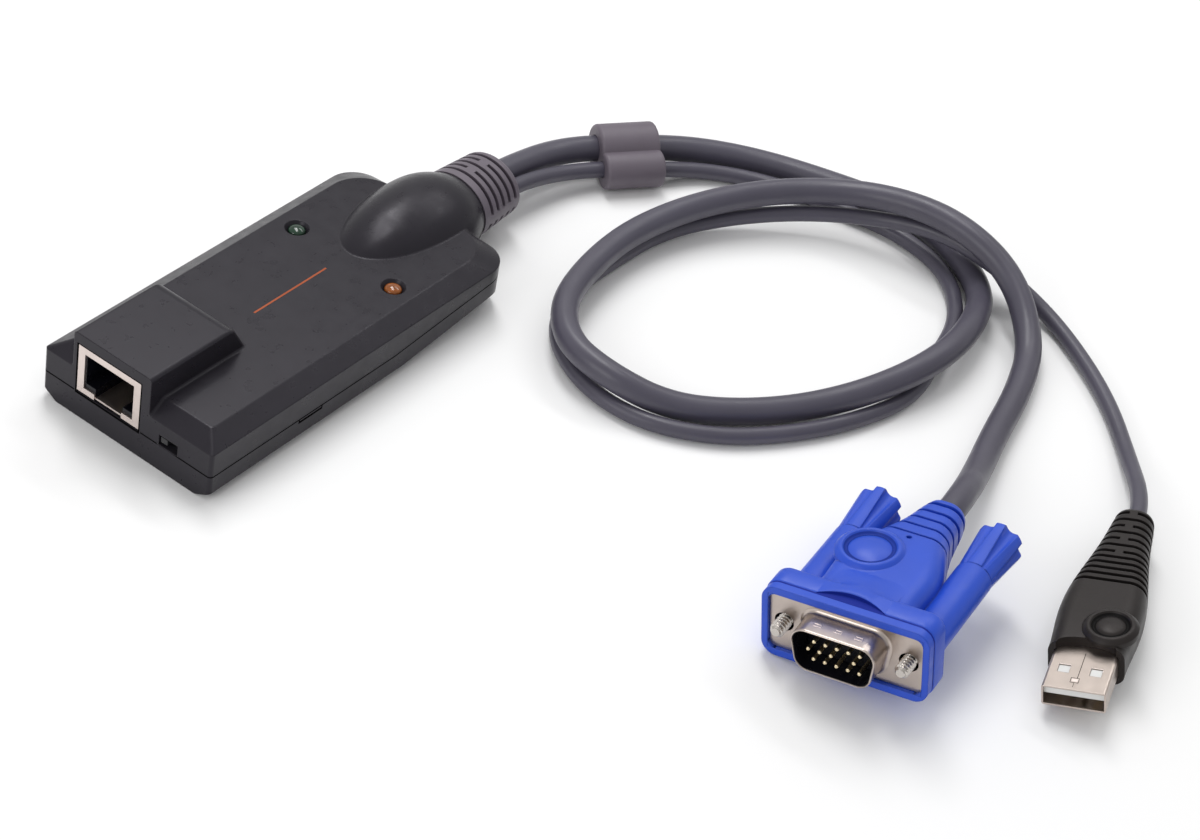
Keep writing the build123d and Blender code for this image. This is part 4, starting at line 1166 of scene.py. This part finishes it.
def threaded_screw(side):
    """Builder of a thumbscrew's shaft with a thread on its tip."""
    facets = 40
    rings_per_turn = 12

    def thread_radius(distance, turn_share):
        """Radius of the thread at a distance and a share of a full turn."""
        phase = (distance / THREAD_PITCH - turn_share) % 1
        ridge = max(0.0, 1.0 - abs(2 * phase - 1) * THREAD_FLANK)
        radius = THREAD_ROOT + (THREAD_CREST - THREAD_ROOT) * ridge
        return min(radius, SCREW_TIP_RADIUS + SCREW_TIP_SLOPE * (distance - SCREW_TIP))

    def build(shape):
        rings = []
        steps = round((THREAD_END - SCREW_TIP) / THREAD_PITCH * rings_per_turn)
        for distance in between(SCREW_TIP, THREAD_END, steps):
            points = []
            for index in range(facets):
                radius = thread_radius(distance, index / facets)
                turn = 2 * pi * index / facets
                points.append((side * SCREW_OFFSET + radius * cos(turn), radius * sin(turn)))
            rings.append(ring_across(video_frame, distance, points))
        circle = circle_points((side * SCREW_OFFSET, 0), SCREW_RADIUS, facets)
        for distance in (THREAD_END + SCREW_SHOULDER, SCREW_END):
            rings.append(ring_across(video_frame, distance, circle))
        skin(shape, rings, cap_start=True, cap_end=True)

    return build


def well_shade_liners(shape):
    """Painted shade on the walls and floors of the two recesses round the screws."""
    mouth, floor_front, floor_back = PLATE_THICKNESS + 0.02, WELL_DEPTH - 0.15, WELL_DEPTH - 0.05
    outer, inner, hole = WELL_RADIUS - 0.02, WELL_RADIUS - 0.12, THREAD_CREST + 0.05
    section = (
        (mouth, outer),
        (floor_back, outer),
        (floor_back, hole),
        (floor_front, hole),
        (floor_front, inner),
        (mouth, inner),
        (mouth, outer),
    )
    for side in (-1, 1):
        skin(shape, [
            ring_across(video_frame, distance, circle_points((side * SCREW_OFFSET, 0), radius))
            for distance, radius in section
        ])


def badge_rings(plug, badge, profile):
    """Rings of a round badge through (radius, height over the hood) pairs."""
    back, left, top, _ = badge
    rings = []
    for radius, height in profile:
        circle = circle_points((back, left), radius, BADGE_COUNT)
        rings.append([plug @ Vector((x, y, top + height)) for x, y in circle])
    return rings


def badge_dish(plug, badge):
    """Builder of the shadowed ring in a badge's dish."""
    crest = badge[-1]
    profile = [(crest + out, rise + LINE_RISE) for out, rise in BADGE_DISH]
    return lambda shape: skin(shape, badge_rings(plug, badge, profile))


def badge_cover(plug, badge):
    """Builder of a round badge: raised ring with a soft crest, deep dish and dome."""
    crest = badge[-1]
    profile = [(crest + out, rise) for out, rise in BADGE_RING]
    profile += [(share * crest, rise) for share, rise in BADGE_DOME]
    profile.append((TIP_RADIUS, BADGE_TOP))
    return lambda shape: skin(shape, badge_rings(plug, badge, profile), cap_end=True)


mesh_piece("video_sleeve", d_sleeve, nickel, replaced="vga_shell")
mesh_piece(
    "video_insulator", d_insulator, insulator_black, replaced="vga_insulator"
)
for side_name, side in (("left", 1), ("right", -1)):
    mesh_piece(
        f"threaded_screw_{side_name}",
        threaded_screw(side),
        steel,
        body=f"{side_name}_thumbscrew",
        replaced=f"vga_screw_{side_name}",
    )
VIDEO_DETAILS = {
    "well_shade_liners": (well_shade_liners, shadow_black, "insulator_black"),
    "sleeve_shade_liner": (sleeve_shade_liner, insulator_black, "insulator_black"),
    "rim_groove": (rim_groove, crevice_shade_blue, "video_plug_blue"),
    "flange_band": (flange_band, video_blue, "video_plug_blue"),
    "crescent_floor": (
        lambda shape: crown_grid(shape, crescent_floor), crevice_shade_blue, "video_plug_blue"
    ),
    "hood_crown": (lambda shape: crown_grid(shape, hood_crown), video_blue, "video_plug_blue"),
    "video_badge": (badge_cover(video_frame, VIDEO_BADGE), video_blue, "video_plug_blue"),
    "dimple_frame_highlights": (dimple_frame_highlights, jack_nickel_and_highlight, "nickel"),
    "plate_corners": (plate_corners, video_blue, "video_plug_blue"),
    "video_badge_dish": (
        badge_dish(video_frame, VIDEO_BADGE), badge_dish_shade_blue, "video_plug_blue"
    ),
}
for name, (build, surface, slot) in VIDEO_DETAILS.items():
    mesh_piece(name, build, surface)


# Fine details on the data plug

def shell_seam(shape):
    """Dark seam along the top of the shell, with the cut round a small catch at its end."""
    low, high = SHELL_TOP - 0.02, SHELL_TOP + 0.012
    catch_front = SEAM_START - CATCH_LENGTH
    cut = CUT_HALF_WIDTH

    def groove(start_x, end_x, start_y, end_y):
        placed_box(shape, data_frame, (start_x, start_y, low), (end_x, end_y, high))

    groove(SEAM_START, SEAM_END, -SEAM_HALF_WIDTH, SEAM_HALF_WIDTH)
    for lateral in (CATCH_RIGHT, CATCH_LEFT):
        groove(catch_front, SEAM_START, lateral - cut, lateral + cut)
    for distance in (catch_front, SEAM_START):
        groove(distance - cut, distance + cut, CATCH_RIGHT - cut, CATCH_LEFT + cut)
    mouth_start, mouth_right, mouth_left = 0.7, 0.3, 0.38
    groove(mouth_start, catch_front, mouth_right, mouth_left)


def latch_plates(shape):
    """Bright spring leaves seen through the latch holes."""
    half = LATCH_SIZE / 2 - 0.05
    low, high = SHELL_TOP - 0.34, SHELL_TOP - 0.2
    for lateral in (-LATCH_OFFSET, LATCH_OFFSET):
        placed_box(
            shape,
            data_frame,
            (LATCH_AT - half, lateral - half, low),
            (LATCH_AT + half, lateral + half, high),
        )


def latch_frame_highlights(shape):
    """Raised edges of the latch holes and the catch's leaf, in a lighter nickel as a painted
    highlight.
    """
    half = LATCH_SIZE / 2
    low, high, leaf_high = SHELL_TOP - 0.02, SHELL_TOP + 0.06, SHELL_TOP + 0.02
    edge, side_edge, side_start = 0.16, 0.12, 0.2
    for lateral in (-LATCH_OFFSET, LATCH_OFFSET):
        left, right = lateral + half, lateral - half
        for low_x, high_x, low_y, high_y in (
            (LATCH_AT + half, LATCH_AT + half + edge, right, left),
            (LATCH_AT + side_start, LATCH_AT + half, left, left + side_edge),
            (LATCH_AT + side_start, LATCH_AT + half, right - side_edge, right),
        ):
            placed_box(shape, data_frame, (low_x, low_y, low), (high_x, high_y, high))
    leaf = ((SEAM_START - 1.0, -0.25, low), (SEAM_START - 0.25, 0.95, leaf_high))
    placed_box(shape, data_frame, *leaf)


DATA_DETAILS = {
    "data_badge_dish": (badge_dish(data_frame, DATA_BADGE), badge_dish_shade_black, "data_plug_black"),
    "data_badge": (badge_cover(data_frame, DATA_BADGE), data_black, "data_plug_black"),
    "shell_seam": (shell_seam, shadow_black, "nickel"),
    "latch_frame_highlights": (latch_frame_highlights, jack_nickel_and_highlight, "nickel"),
    "latch_plates": (latch_plates, insulator_white, "insulator_white"),
}
for name, (build, surface, slot) in DATA_DETAILS.items():
    mesh_piece(name, build, surface)
